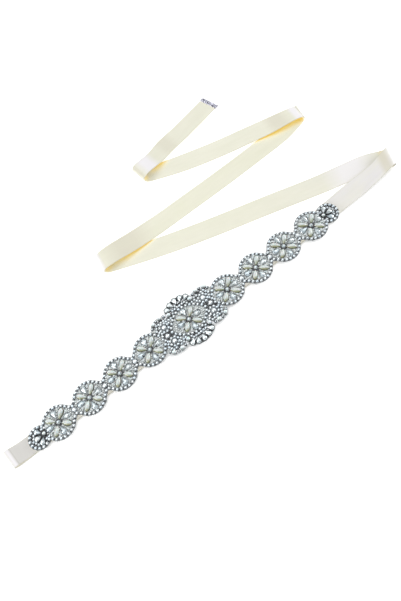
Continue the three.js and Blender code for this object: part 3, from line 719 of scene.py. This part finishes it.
# Drops: length, width, height, the painted facet reflections round them, the metal round them and its wall.
DROP_STONES = {
    "flower": (10.2, 6.4, 2.4, "pgpwpgpppdpgpp", "silver cup", 0.22),
    "crown": (9.0, 6.1, 2.9, "pppgpppppwgppp", "dark setting", 0.26),
    "fan": (8.8, 6.1, 2.6, "wwppgppgpwwppg", "dark setting", 0.26),
}


def facets(pattern, rng):
    """The painted facet reflections round a stone, started at a side of its own."""
    start = rng.randrange(len(pattern))
    return [SHADES[letter] for letter in pattern[start:] + pattern[:start]]


def lay_round_stone(tray, rng, kind, x, y, z):
    radius, height, pattern, metal = ROUND_STONES[kind]
    turn = rng.uniform(0, 1)
    tray.lay(cup(radius, height * 0.55, 0.2 + 0.14 * radius), metal, x, y, z, turn)
    tray.lay(round_stone(radius * 0.96, height), facets(pattern, rng), x, y, z + 0.02, turn)


def lay_drop(tray, rng, kind, x, y, z, turn):
    length, width, height, pattern, metal, wall = DROP_STONES[kind]
    tray.lay(drop_cup(length, width, height * 0.5, wall), metal, x, y, z, turn)
    tray.lay(drop_stone(length * 0.98, width * 0.96, height), facets(pattern, rng), x, y, z + 0.02, turn)


def finished(obj, nodes):
    """Hands a piece over: the body that it rides on, the nodes that it stands for, if any."""
    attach(obj, "root")
    if nodes:
        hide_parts(*nodes)


def settings():
    return bpy.context.scene.sash


# RIBBON


def curve_through(points, samples=60):
    """A smooth curve through points: centripetal, so that it has no loops."""
    p = np.array(points, float)
    p = np.vstack([2 * p[0] - p[1], p, 2 * p[-1] - p[-2]])
    out = []
    for i in range(1, len(p) - 2):
        q = p[i - 1 : i + 3]
        t = np.concatenate([[0], np.cumsum(np.linalg.norm(np.diff(q, axis=0), axis=1) ** 0.5)])
        u = np.linspace(t[1], t[2], samples, endpoint=i == len(p) - 3)[:, None]

        def between(a, b, one, two):
            return (t[b] - u) / (t[b] - t[a]) * one + (u - t[a]) / (t[b] - t[a]) * two

        a = [between(k, k + 1, q[k], q[k + 1]) for k in range(3)]
        out.append(between(1, 2, between(0, 2, a[0], a[1]), between(1, 3, a[1], a[2])))
    return np.vstack(out)


class Along:
    """A curve read by the distance along it."""

    def __init__(self, points):
        self.points = points
        self.at = np.concatenate([[0], np.cumsum(np.linalg.norm(np.diff(points, axis=0), axis=1))])
        self.length = self.at[-1]

    def read(self, share):
        s = np.clip(share, 0, 1) * self.length
        return np.array([np.interp(s, self.at, self.points[:, k]) for k in range(self.points.shape[1])])

    def outermost(self):
        """The distance along it to its largest X."""
        return self.at[int(np.argmax(self.points[:, 0]))]


class Stretch:
    """The two edges of the ribbon on the table between two turns."""

    def __init__(self, line, start, end):
        half = np.array(line, float)[:, 2:] / 2
        line = np.array(line, float)[:, :2]
        along = np.empty_like(line)
        along[1:-1] = line[2:] - line[:-2]
        along[0], along[-1] = line[1] - line[0], line[-1] - line[-2]
        along /= np.linalg.norm(along, axis=1)[:, None]
        across = np.stack([-along[:, 1], along[:, 0]], 1)
        across[across[:, 1] < 0] *= -1
        near, far = line - across * half, line + across * half
        self.edges = {
            "near": Along(curve_through([start["near"][:2], *near, end["near"][:2]])),
            "far": Along(curve_through([start["far"][:2], *far, end["far"][:2]])),
        }
        self.length = (self.edges["near"].length + self.edges["far"].length) / 2

    def edge(self, name, s):
        return self.edges[name].read(s / self.length)


def bend_profile(turn, edge, level_low, level_high):
    """A smooth curve of (minus the distance back, height) round one edge of a bend, lower run first."""
    rise = turn[edge][2]
    low = [(-b, max(level_low, level_low + rise * u)) for b, u in reversed(LOWER_SIDE)]
    high = [(-b * turn["reach"], max(level_high, TABLE_LEVEL + rise * u)) for b, u in UPPER_SIDE]
    return Along(curve_through(low + [(0.0, TABLE_LEVEL + rise * OUTERMOST)] + high, 30))


def bend_shares(curve):
    """Shares of a bend's curve, close together where it is tight."""
    middle = curve.outermost()
    shares, s = [0.0], 0.0
    while s < curve.length:
        s += 0.55 + 0.055 * min(abs(s - middle), 40)
        shares.append(min(1.0, s / curve.length))
    return shares


def ribbon_sections():
    """All sections of the ribbon in order, each the x, y, z of its near and its far edge in millimetres.

    With them, which section is the outermost one of each turn.
    """
    lines = [WAIST_LINE, SECOND_LINE, THIRD_LINE, FOURTH_LINE, FIFTH_LINE]
    ends = TURNS + [TIP]
    runs = [Stretch(line, ends[i], ends[i + 1]) for i, line in enumerate(lines)]
    waist = runs[0]
    rows = []
    turn_rows = []

    def add(run, s, z_near, z_far):
        rows.append([*run.edge("near", s), z_near, *run.edge("far", s), z_far])

    # The hidden tail lies to and fro in three layers under the waist, from the top one down.
    inner, outer = FOLDED_ENDS[0] - TURNS[0]["near"][0], FOLDED_ENDS[1] - TURNS[0]["near"][0]
    for layer, z in enumerate(reversed(FOLDED_LAYERS)):
        start, end = (outer, inner) if layer % 2 == 0 else (inner, outer)
        for k in range(1, 48):
            add(waist, start + (end - start) * k / 48, z, z)
        if layer < len(FOLDED_LAYERS) - 1:
            add(waist, end + (2.2 if end > start else -2.2), z - 0.27, z - 0.27)
    # Then each turn in order, after the flat run that leads to it.
    left_at = None
    for i, turn in enumerate(TURNS):
        before, after = runs[max(i - 1, 0)], runs[i]
        level_low = LOW_LEVEL if i else FOLDED_LAYERS[0]
        level_high = LOW_LEVEL if i > 1 else WAIST_LEVEL
        curves = {edge: bend_profile(turn, edge, level_low, level_high) for edge in ("near", "far")}
        shares = bend_shares(curves["near"])
        upper_first = i == 1
        if upper_first:
            shares = shares[::-1]
        if i:
            first_back, first_z = curves["near"].read(shares[0])
            flat_to = before.length + first_back
            count = max(2, int((flat_to - left_at[0]) / 4.0))
            for k in range(1, count):
                share = k / count
                z = left_at[1] + (first_z - left_at[1]) * min(1.0, max(0.0, (share - 0.1) / 0.8))
                add(before, left_at[0] + (flat_to - left_at[0]) * share, z, z)
        tip_share = curves["near"].outermost() / curves["near"].length
        turn_rows.append(len(rows) + int(np.argmin(np.abs(np.array(shares) - tip_share))))
        for share in shares:
            row = []
            for edge, curve in curves.items():
                back, z = curve.read(share)
                leaving = (share > curve.outermost() / curve.length) != upper_first
                run = after if leaving else before
                s = max(0.0, -back) if leaving or i == 0 else before.length - max(0.0, -back)
                row += [*run.edge(edge, s), z]
            rows.append(row)
        last_back, last_z = curves["near"].read(shares[-1])
        left_at = (-last_back, last_z)
    tail = runs[-1]
    for k in range(1, 26):
        add(tail, left_at[0] + (tail.length - left_at[0]) * k / 25, left_at[1], left_at[1])
    return np.array(rows), turn_rows


def distances_along(rows):
    """Millimetres from the ribbon's hidden end to each section, along its middle."""
    middle = (rows[:, :3] + rows[:, 3:]) / 2
    return np.concatenate([[0], np.cumsum(np.linalg.norm(np.diff(middle, axis=0), axis=1))])


def turns_along():
    """Metres along the ribbon to each turn's outermost line."""
    rows, turn_rows = ribbon_sections()
    return [float(distances_along(rows)[i] * MM) for i in turn_rows]


def cloth_mesh(name, rows, columns, thickness, cupping):
    """A closed ribbon: a grid of sections, its back and a rim, with a flat map of the cloth on it."""
    t = np.linspace(0, 1, columns)
    near, far = rows[:, :3], rows[:, 3:]
    grid = near[:, None, :] * (1 - t)[None, :, None] + far[:, None, :] * t[None, :, None]
    along = np.gradient(grid, axis=0)
    across = (far - near)[:, None, :] * np.ones((1, columns, 1))
    out = np.cross(along, across)
    out /= np.maximum(np.linalg.norm(out, axis=2), 1e-9)[:, :, None]
    length = distances_along(rows)
    bowed = (2 * t - 1) ** 2
    ripple = 0.5 + 0.5 * np.sin(length / 19.0)[:, None] * np.sin(length / 47.0 + 1.3)[:, None]
    grid = grid - out * (cupping / MM * (bowed - 0.4)[None, :] * ripple)[:, :, None]
    half = thickness / MM / 2
    top, under = grid + out * half, grid - out * half
    n, m = len(rows), columns
    points = np.vstack([top.reshape(-1, 3), under.reshape(-1, 3)])
    points[:, 2] = np.maximum(points[:, 2], 0.02)
    faces = []
    for i in range(n - 1):
        for k in range(m - 1):
            a = i * m + k
            quad = (a, a + 1, a + m + 1, a + m)
            faces += [quad, tuple(n * m + corner for corner in reversed(quad))]
    rim = [(i * m + k, (i + 1) * m + k, k > 0) for i in range(n - 1) for k in (0, m - 1)]
    rim += [(i * m + k, i * m + k + 1, i == 0) for k in range(m - 1) for i in (0, n - 1)]
    for a, b, flip in rim:
        quad = (a, b, n * m + b, n * m + a)
        faces.append(quad[::-1] if flip else quad)
    mesh = bpy.data.meshes.new(name)
    mesh.from_pydata((points * MM).tolist(), [], faces)
    flat = np.zeros((2 * n * m, 2))
    flat[:, 0] = np.tile(t * WIDTH * MM, 2 * n)
    flat[:, 1] = np.tile(np.repeat(length * MM, m), 2)
    layer = mesh.uv_layers.new(name="Cloth")
    index = np.zeros(len(mesh.loops), np.int32)
    mesh.loops.foreach_get("vertex_index", index)
    layer.data.foreach_set("uv", flat[index].ravel())
    mesh.polygons.foreach_set("use_smooth", [True] * len(mesh.polygons))
    mesh.update()
    mesh.set_sharp_from_angle(angle=math.radians(50))
    obj = bpy.data.objects.new(name, mesh)
    bpy.context.scene.collection.objects.link(obj)
    return obj, float(length[-1] * MM)


class SASH_OT_ribbon(bpy.types.Operator):
    """Makes the satin ribbon: hidden tail, waist, four bends and the runs between them."""

    bl_idname = "sash.ribbon"
    bl_label = "Ribbon"

    def execute(self, context):
        s = settings()
        ribbon, length = cloth_mesh("satin_ribbon", ribbon_sections()[0], 13, s.thickness, s.cupping)
        ribbon.data.materials.append(paint("satin ribbon"))
        nodes = [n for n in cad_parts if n.startswith("ribbon") and n != "ribbon_glitter_tip"]
        finished(ribbon, nodes)
        return {"FINISHED"}


class SASH_OT_glitter_tip(bpy.types.Operator):
    """Makes the band of silver glitter over the ribbon's cut end."""

    bl_idname = "sash.glitter_tip"
    bl_label = "Glitter tip"

    def execute(self, context):
        near, far = np.array(TIP["near"][:2], float), np.array(TIP["far"][:2], float)
        span = float(np.linalg.norm(far - near))
        side = (far - near) / span
        out = np.array([side[1], -side[0]])
        tray = Tray(bow=0)
        rings = []
        for distance, top, spread in GLITTER_BAND:
            a, b = near + out * distance - side * spread, far + out * distance + side * spread
            rings.append([(*a, 0.05), (*b, 0.05), (*b, top), (*a, top)])
        tray.lay(rings_shape(rings), "silver glitter")
        rng = random.Random(4)
        for row in range(5):
            for k in range(int(span / GLITTER_PITCH)):
                place = near + side * (0.6 + (k + 0.5 * (row % 2)) * GLITTER_PITCH) + out * (row - 0.2)
                flake = ball(rng.uniform(0.45, 0.65), 2, 5)
                tray.lay(flake, "silver glitter", *place, 0.6, rng.uniform(0, 3))
        finished(tray.piece("glitter_tip"), ["ribbon_glitter_tip"])
        return {"FINISHED"}


# APPLIQUE


def half_outline():
    rows = list(CENTRE_OUTLINE)
    for i, middle in enumerate(MEDALLIONS):
        last = i == len(MEDALLIONS) - 1
        for k, (along, across) in enumerate(MEDALLION_OUTLINE):
            if (i == 0 and k == 0) or (last and k == len(MEDALLION_OUTLINE) - 1):
                continue
            rows.append((middle + along, across))
        rows.append((middle + 16.4, 10) if last else (middle + PITCH / 2, NECK_HALF))
    for turn in (118, 96, 73, 49, 25, 0):
        angle = math.radians(turn)
        rows.append((FAN_AT + FAN_RADIUS * math.cos(angle), FAN_RADIUS * math.sin(angle)))
    return rows


def inset(points, distance, closed=False):
    """Points moved in from a path, to its left."""
    p = np.array(points, float)
    before = np.roll(p, 1, 0) if closed else np.vstack([p[:1] * 2 - p[1:2], p[:-1]])
    after = np.roll(p, -1, 0) if closed else np.vstack([p[1:], p[-1:] * 2 - p[-2:-1]])
    one, two = p - before, after - p
    one /= np.linalg.norm(one, axis=1)[:, None]
    two /= np.linalg.norm(two, axis=1)[:, None]
    along = one + two
    along /= np.linalg.norm(along, axis=1)[:, None]
    side = np.stack([-along[:, 1], along[:, 0]], 1)
    mitre = 1 / np.maximum(0.8, (side * np.stack([-one[:, 1], one[:, 0]], 1)).sum(1))
    return p + side * distance * mitre[:, None]


def evenly(points, pitch, closed=False):
    """Places a pitch apart along a smooth line through the points, each with its direction."""
    p = np.array(points, float)
    if closed:
        p = np.vstack([p, p[:1]])
    line = Along(p)
    count = max(2, round(line.length / pitch))
    places = []
    for k in range(count if closed else count + 1):
        share = k / count
        here, ahead = line.read(share), line.read(min(1, share + 0.002))
        if share > 0.998:
            here, ahead = line.read(share - 0.002), line.read(share)
        places.append((*line.read(share), math.atan2(ahead[1] - here[1], ahead[0] - here[0])))
    return places


def mirrored(rows, sx, sy):
    return [(sx * x, sy * y) for x, y in rows]


class SASH_OT_felt(bpy.types.Operator):
    """Cuts the scalloped felt that carries all the beads."""

    bl_idname = "sash.felt"
    bl_label = "Felt backing"

    def execute(self, context):
        half = half_outline()
        upper = mirrored(half, -1, 1)[::-1] + half[1:]
        outline = (upper + mirrored(upper, 1, -1)[::-1][1:-1])[::-1]
        levels = [(0.25, FELT_BOTTOM), (0, FELT_BOTTOM + 0.25), (0, FELT_TOP - 0.3), (0.6, FELT_TOP)]
        tray = Tray()
        rings = [[(x, y + SHIFT, z) for x, y in inset(outline, back, True)] for back, z in levels]
        tray.lay(rings_shape(rings), "felt backing")
        felt = tray.piece("felt_backing")
        finished(felt, ["applique_felt"])
        p = np.array(outline)
        return {"FINISHED"}


def ring_path():
    """The closed line of the edging round the middle flower."""
    return (
        CENTRE_RING
        + mirrored(CENTRE_RING[:-1], -1, 1)[::-1]
        + mirrored(CENTRE_RING[1:], -1, -1)
        + mirrored(CENTRE_RING[1:-1], 1, -1)[::-1]
    )


def edging_path(sign):
    """The line of the edging round one half of the applique, on the felt's outline."""
    start = [(FIRST - 18.4, 7.9), (FIRST + MEDALLION_OUTLINE[0][0], MEDALLION_OUTLINE[0][1])]
    half = start + half_outline()[len(CENTRE_OUTLINE) :]
    return mirrored(half, sign, sign) + mirrored(half[:-1], sign, -sign)[::-1]


def lay_band(tray, path, width, closed=False, metal="dark setting"):
    """A metal band of short lengths under a row of stones; when dark it also paints the shade in their gaps."""
    for x, y, turn in evenly(path, BAND_STEP, closed):
        tray.lay(slab(BAND_PIECE, width, PLATE), metal, x, y + SHIFT, FELT_TOP, turn)


class SASH_OT_edging(bpy.types.Operator):
    """Lays the rows of small set stones along both halves and round the middle flower."""

    bl_idname = "sash.edging"
    bl_label = "Stone edging"

    def execute(self, context):
        self.row("edging_right", inset(edging_path(1), -EDGING_INSET), False)
        self.row("edging_left", inset(edging_path(-1), -EDGING_INSET), False)
        self.row("edging_centre", ring_path(), True)
        return {"FINISHED"}

    def row(self, name, path, closed):
        tray = Tray()
        rng = random.Random(len(path))
        lay_band(tray, path, EDGING_BAND, closed)
        if not closed:
            lay_band(tray, inset(path, WIRE_INSET), WIRE_WIDTH)
        for x, y, _ in evenly(path, settings().stone_pitch / MM, closed):
            lay_round_stone(tray, rng, "edging", x, y + SHIFT, FELT_TOP + 0.2)
        finished(tray.piece(name), [name])


class SASH_OT_flowers(bpy.types.Operator):
    """Makes the nine flowers of pearl and crystal petals."""

    bl_idname = "sash.flowers"
    bl_label = "Flowers"

    def execute(self, context):
        rng = random.Random(7)
        self.flower("flower_centre", 0, rng)
        for i, x in enumerate(MEDALLIONS):
            self.flower(f"flower_right_{i + 1}", x, rng)
            self.flower(f"flower_left_{i + 1}", -x, rng)
        return {"FINISHED"}

    def flower(self, name, x, rng):
        tray = Tray()
        tray.lay(disc(FLOWER_PLATE, PLATE), "dark setting", x, SHIFT, FELT_TOP)
        under, over = pearl_petal(*PEARL_SHADOW_BED), pearl_petal(*PEARL)
        for i in range(4):
            slant = math.pi / 4 + i * math.pi / 2 + rng.uniform(-0.05, 0.05)
            place = around(x, SHIFT, PEARLS_AT + rng.uniform(-0.15, 0.15), slant)
            # A dark bed a little larger than each pearl: a painted shadow round its edge.
            tray.lay(under, "dark setting", *place, FELT_TOP + 0.1, slant, smooth=True)
            tray.lay(over, "cream pearl", *place, FELT_TOP + 0.4, slant, smooth=True)
            turn = i * math.pi / 2 + rng.uniform(-0.06, 0.06)
            lay_drop(tray, rng, "flower", *around(x, SHIFT, DROPS_AT, turn), FELT_TOP + 0.3, turn)
        lay_round_stone(tray, rng, "flower", x, SHIFT, FELT_TOP + 0.6)
        finished(tray.piece(name), [name])


class SASH_OT_neck_stones(bpy.types.Operator):
    """Sets a round stone at each neck between two medallions."""

    bl_idname = "sash.neck_stones"
    bl_label = "Neck stones"

    def execute(self, context):
        rng = random.Random(5)
        for i, x in enumerate(NECKS):
            for side, sign in (("right", 1), ("left", -1)):
                tray = Tray()
                tray.lay(disc(NECK_PLATE, 0.3), "dark setting", sign * x, SHIFT, FELT_TOP)
                lay_round_stone(tray, rng, "neck", sign * x, SHIFT, FELT_TOP + 0.2)
                name = f"neck_stone_{side}_{i + 1}"
                finished(tray.piece(name), [name])
        return {"FINISHED"}


class SASH_OT_crowns(bpy.types.Operator):
    """Fans five drops above and five below the middle flower."""

    bl_idname = "sash.crowns"
    bl_label = "Crowns"

    def execute(self, context):
        rng = random.Random(3)
        for name, sign in (("crown_upper", 1), ("crown_lower", -1)):
            tray = Tray()
            for along, across, lean in CROWN:
                turn = math.radians(90 - lean) + (0 if sign > 0 else math.pi)
                x, y = sign * along, SHIFT + sign * across
                tray.lay(slab(*CROWN_SLAB), "silver cup", x, y, FELT_TOP, turn)
                lay_drop(tray, rng, "crown", x, y, FELT_TOP + 0.3, turn)
            finished(tray.piece(name), [name])
        return {"FINISHED"}


class SASH_OT_lobes(bpy.types.Operator):
    """Makes the four lobes beside the middle: a rosette and an outer rim with three pearls each."""

    bl_idname = "sash.lobes"
    bl_label = "Lobes"

    def execute(self, context):
        rng = random.Random(9)
        for quarter, (sx, sy) in QUARTERS.items():
            x, y = sx * ROSETTE[0], sy * ROSETTE[1] + SHIFT
            tray = Tray()
            tray.lay(disc(ROSETTE_PLATE, 0.5), "dark setting", x, y, FELT_TOP)
            lay_round_stone(tray, rng, "rosette middle", x, y, FELT_TOP + 0.4)
            for k in range(8):
                place = around(x, y, ROSETTE_RING_AT, 2 * math.pi * k / 8 + 0.2)
                lay_round_stone(tray, rng, "rosette ring", *place, FELT_TOP + 0.3)
            finished(tray.piece(f"rosette_{quarter}"), [f"rosette_{quarter}"])
            rim = Tray()
            path = mirrored(LOBE_RIM, sx, sy)
            lay_band(rim, path, LOBE_BAND, False, "silver cup")
            pearls = mirrored(LOBE_PEARLS, sx, sy)
            for px, py in pearls:
                rim.lay(ball(LOBE_PEARL, 8, 14, 0.9), "white pearl", px, py + SHIFT, FELT_TOP, smooth=True)
            for bx, by, _ in evenly(path, LOBE_PITCH):
                if all(math.hypot(bx - px, by - py) > LOBE_PEARL_ROOM for px, py in pearls):
                    lay_round_stone(rim, rng, "lobe rim", bx, by + SHIFT, FELT_TOP + 0.2)
            finished(rim.piece(f"lobe_rim_{quarter}"), [f"lobe_rim_{quarter}"])
        return {"FINISHED"}


class SASH_OT_fans(bpy.types.Operator):
    """Makes the fan of three drops and a pearl at each end."""

    bl_idname = "sash.fans"
    bl_label = "End fans"

    def execute(self, context):
        rng = random.Random(13)
        for name, sign in (("fan_right", 1), ("fan_left", -1)):
            tray = Tray()
            x = sign * FAN_FROM
            tray.lay(disc(FAN_PLATE, PLATE), "dark setting", x + sign * 5.5, SHIFT, FELT_TOP)
            tray.lay(ball(FAN_PEARL, 8, 14, 0.95), "white pearl", x, SHIFT, FELT_TOP + 0.3, smooth=True)
            for lean in FAN_LEANS:
                turn = math.radians(lean) + (0 if sign > 0 else math.pi)
                lay_drop(tray, rng, "fan", *around(x, SHIFT, FAN_DROPS_AT, turn), FELT_TOP + 0.4, turn)
            finished(tray.piece(name), [name])
        return {"FINISHED"}


class SASH_OT_filler_beads(bpy.types.Operator):
    """Sews small beads over the felt that shows between the larger ones."""

    bl_idname = "sash.filler_beads"
    bl_label = "Small sewn beads"

    def taken(self):
        """Circles (x, y, radius) that larger beads already cover."""
        spots = [(x, 0, 4.4) for x in FLOWERS_AT]
        for x in FLOWERS_AT:
            for i in range(4):
                turn = i * math.pi / 2
                spots += [(*around(x, 0, reach, turn + math.pi / 4), radius) for reach, radius in PEARL_SPOTS]
                spots += [(*around(x, 0, reach, turn), radius) for reach, radius in DROP_SPOTS]
        for sign in (1, -1):
            spots += [(sign * x, 0, 3.0) for x in NECKS]
            spots.append((sign * FAN_FROM, 0, 2.3))
            for lean in FAN_LEANS:
                for reach, radius in FAN_SPOTS:
                    x, y = around(FAN_FROM, 0, reach, math.radians(lean))
                    spots.append((sign * x, y, radius))
            spots += [(sign * along, sign * across, 3.3) for along, across, _ in CROWN]
            spots += [(x, y, 1.7) for x, y, _ in evenly(inset(edging_path(sign), -1.5), BAND_STEP)]
        spots += [(x, y, 1.7) for x, y, _ in evenly(ring_path(), BAND_STEP, True)]
        for sx, sy in QUARTERS.values():
            spots.append((sx * ROSETTE[0], sy * ROSETTE[1], 6.3))
            spots += [(x, y, 2.3) for x, y in mirrored(LOBE_PEARLS, sx, sy)]
            spots += [(x, y, 1.5) for x, y, _ in evenly(mirrored(LOBE_RIM, sx, sy), BAND_STEP)]
        return np.array(spots)

    def places(self, pitch, margin, rng):
        """Places on the felt in shifted rows, a little irregular, at least a margin from its outline."""
        along, across = zip(*half_outline())
        rows, columns = int(31 / (pitch * ROW_STEP)), int(FAN_AT / pitch) + 8
        for row in range(-rows, rows + 1):
            for k in range(-columns, columns + 1):
                x = (k + 0.5 * (row % 2)) * pitch + rng.uniform(-0.15, 0.15)
                y = row * pitch * ROW_STEP + rng.uniform(-0.15, 0.15)
                edge = np.interp(abs(x), along, across)
                if abs(x) < FAN_AT + FAN_RADIUS - margin and abs(y) < edge - margin:
                    yield x, y

    def dark(self, x, y):
        """Lobes, crowns and fans have dark metal between their stones, partly painted shade; medallions pale
        beads.
        """
        ring_x, ring_y = CENTRE_RING[0][0], CENTRE_RING[-1][1]
        beside_flower = abs(x) < FIRST - 17.5 and (x / ring_x) ** 2 + (y / ring_y) ** 2 > 1
        return beside_flower or abs(x) > FAN_FROM - 3

    def execute(self, context):
        spots, pitch = self.taken(), settings().filler_pitch / MM
        rng = random.Random(11)
        tray = Tray()

        def clear(x, y, room):
            return (np.hypot(spots[:, 0] - x, spots[:, 1] - y) > spots[:, 2] + room).all()

        for x, y in self.places(FILLER_PITCH, FILLER_MARGIN, rng):
            if self.dark(x, y):
                tray.lay(disc(FILLER_PLATE, 0.3, 8), "dark setting", x, y + SHIFT, FELT_TOP - 0.05)
                if clear(x, y, FILLER_ROOM):
                    lay_round_stone(tray, rng, "filler", x, y + SHIFT, FELT_TOP + 0.2)
        petal_bead = pearl_petal(*PETAL_BEAD, 6, 7)
        for middle in FLOWERS_AT:
            for k in range(8):
                angle = math.pi / 8 + k * math.pi / 4 + rng.uniform(-0.04, 0.04)
                place = around(middle, SHIFT, PETAL_BEADS_AT, angle)
                tray.lay(petal_bead, "pale glass", *place, FELT_TOP, angle, smooth=True)
        beads = [ball(size * pitch, 3, 8, 0.7) for size in (0.42, 0.48, 0.54)]
        for x, y in self.places(pitch, BEAD_MARGIN, rng):
            if not self.dark(x, y) and clear(x, y, BEAD_ROOM * pitch):
                tray.lay(rng.choice(beads), "seed bead", x, y + SHIFT, FELT_TOP - 0.05, smooth=True)
        finished(tray.piece("small_sewn_beads"), [])
        return {"FINISHED"}


class SASH_OT_stage(bpy.types.Operator):
    """Sets the pale table, the soft light and the camera at the photograph's angle."""

    bl_idname = "sash.stage"
    bl_label = "Stage"

    def execute(self, context):
        scene = context.scene
        stage = scene.sash_stage
        bpy.ops.mesh.primitive_plane_add(size=8.0, location=(0, 0, -0.0002))
        table = context.object
        table.name = "table_top"
        table.data.materials.append(paint("pale table"))
        self.area("key_light", (0.0, 0.5, 1.3), (0.03, 0.08, 0), 1.4, 1.4, stage.key, (1.0, 1.0, 0.99))
        self.area("left_light", (-1.1, 0.1, 0.45), (0.0, 0.08, 0), 0.9, 0.5, stage.sides, (1.0, 1.0, 1.0))
        self.area("right_light", (1.15, -0.1, 0.45), (0.1, 0.08, 0), 0.9, 0.5, stage.sides, (0.98, 0.99, 1.0))
        scene.world = self.studio(stage.fill)
        scene.view_settings.view_transform = "Standard"
        scene.view_settings.look = "None"
        self.camera(scene)
        return {"FINISHED"}

    def studio(self, fill):
        """A white tent, patchy enough for cut stones to sparkle and darker overhead."""
        p = Paint("studio", world=True)
        toward = p.node("ShaderNodeTexCoord", out="Generated")
        height = p.node("ShaderNodeSeparateXYZ", None, {0: toward}, 2)
        patches = p.noise(toward, 2.6, 2.0).between(0.38, 0.62)
        overhead = height.between(0.55, 0.95)
        light = (1.0 + (1.1 * patches - 0.65) * height.between(0.15, 0.45)) * (1.0 - 0.45 * overhead) * fill
        white = (1.0, 1.0, 1.0, 1.0)
        return p.done(p.node("ShaderNodeBackground", None, {"Color": white, "Strength": light}))

    def area(self, name, place, target, width, depth, power, colour):
        light = bpy.data.lights.new(name, "AREA")
        light.shape = "RECTANGLE"
        light.size, light.size_y, light.energy, light.color = width, depth, power, colour
        obj = bpy.data.objects.new(name, light)
        obj.location = place
        obj.rotation_euler = (Vector(target) - Vector(place)).to_track_quat("-Z", "Y").to_euler()
        bpy.context.scene.collection.objects.link(obj)

    def camera(self, scene):
        """Looks down at 66 degrees from in front, rolled so that the applique climbs to the right."""
        away, down, roll = math.radians(70.587), math.radians(66.257), math.radians(-19.972)
        ahead = Vector((math.cos(down) * math.cos(away), math.cos(down) * math.sin(away), -math.sin(down)))
        right = Vector((math.sin(away), -math.cos(away), 0))
        up = right.cross(ahead)
        across = right * math.cos(roll) + up * math.sin(roll)
        upright = up * math.cos(roll) - right * math.sin(roll)
        matrix = Matrix((across, upright, -ahead)).transposed().to_4x4()
        matrix.translation = Vector((-58.435, -221.691, 562.854)) * MM
        data = bpy.data.cameras.new("photo_camera")
        data.sensor_width, data.lens, data.clip_start = 36.0, 32.945, 0.01
        camera = bpy.data.objects.new("photo_camera", data)
        camera.matrix_world = matrix
        scene.collection.objects.link(camera)
        scene.camera = camera


class SASH_PT_panel(bpy.types.Panel):
    """Lists the sash's settings and pieces."""

    bl_label = "Bridal Sash"
    bl_idname = "SASH_PT_panel"
    bl_space_type = "VIEW_3D"
    bl_region_type = "UI"
    bl_category = "Sash"

    def draw(self, context):
        for group in (context.scene.sash, context.scene.sash_stage):
            box = self.layout.box()
            for key in group.__annotations__:
                box.prop(group, key)
        for operator in OPERATORS:
            self.layout.operator(operator.bl_idname)


OPERATORS = (
    SASH_OT_ribbon,
    SASH_OT_glitter_tip,
    SASH_OT_felt,
    SASH_OT_edging,
    SASH_OT_flowers,
    SASH_OT_neck_stones,
    SASH_OT_crowns,
    SASH_OT_lobes,
    SASH_OT_fans,
    SASH_OT_filler_beads,
    SASH_OT_stage,
)
CLASSES = (SashSettings, StageSettings, *OPERATORS, SASH_PT_panel)


def register():
    for each in CLASSES:
        bpy.utils.register_class(each)
    bpy.types.Scene.sash = bpy.props.PointerProperty(type=SashSettings)
    bpy.types.Scene.sash_stage = bpy.props.PointerProperty(type=StageSettings)


def unregister():
    del bpy.types.Scene.sash_stage
    del bpy.types.Scene.sash
    for each in reversed(CLASSES):
        bpy.utils.unregister_class(each)


def main():
    register()
    bpy.ops.sash.ribbon()
    bpy.ops.sash.glitter_tip()
    bpy.ops.sash.felt()
    bpy.ops.sash.edging()
    bpy.ops.sash.flowers()
    bpy.ops.sash.neck_stones()
    bpy.ops.sash.crowns()
    bpy.ops.sash.lobes()
    bpy.ops.sash.fans()
    bpy.ops.sash.filler_beads()
    bpy.ops.sash.stage()


if __name__ == "__main__":
    main()
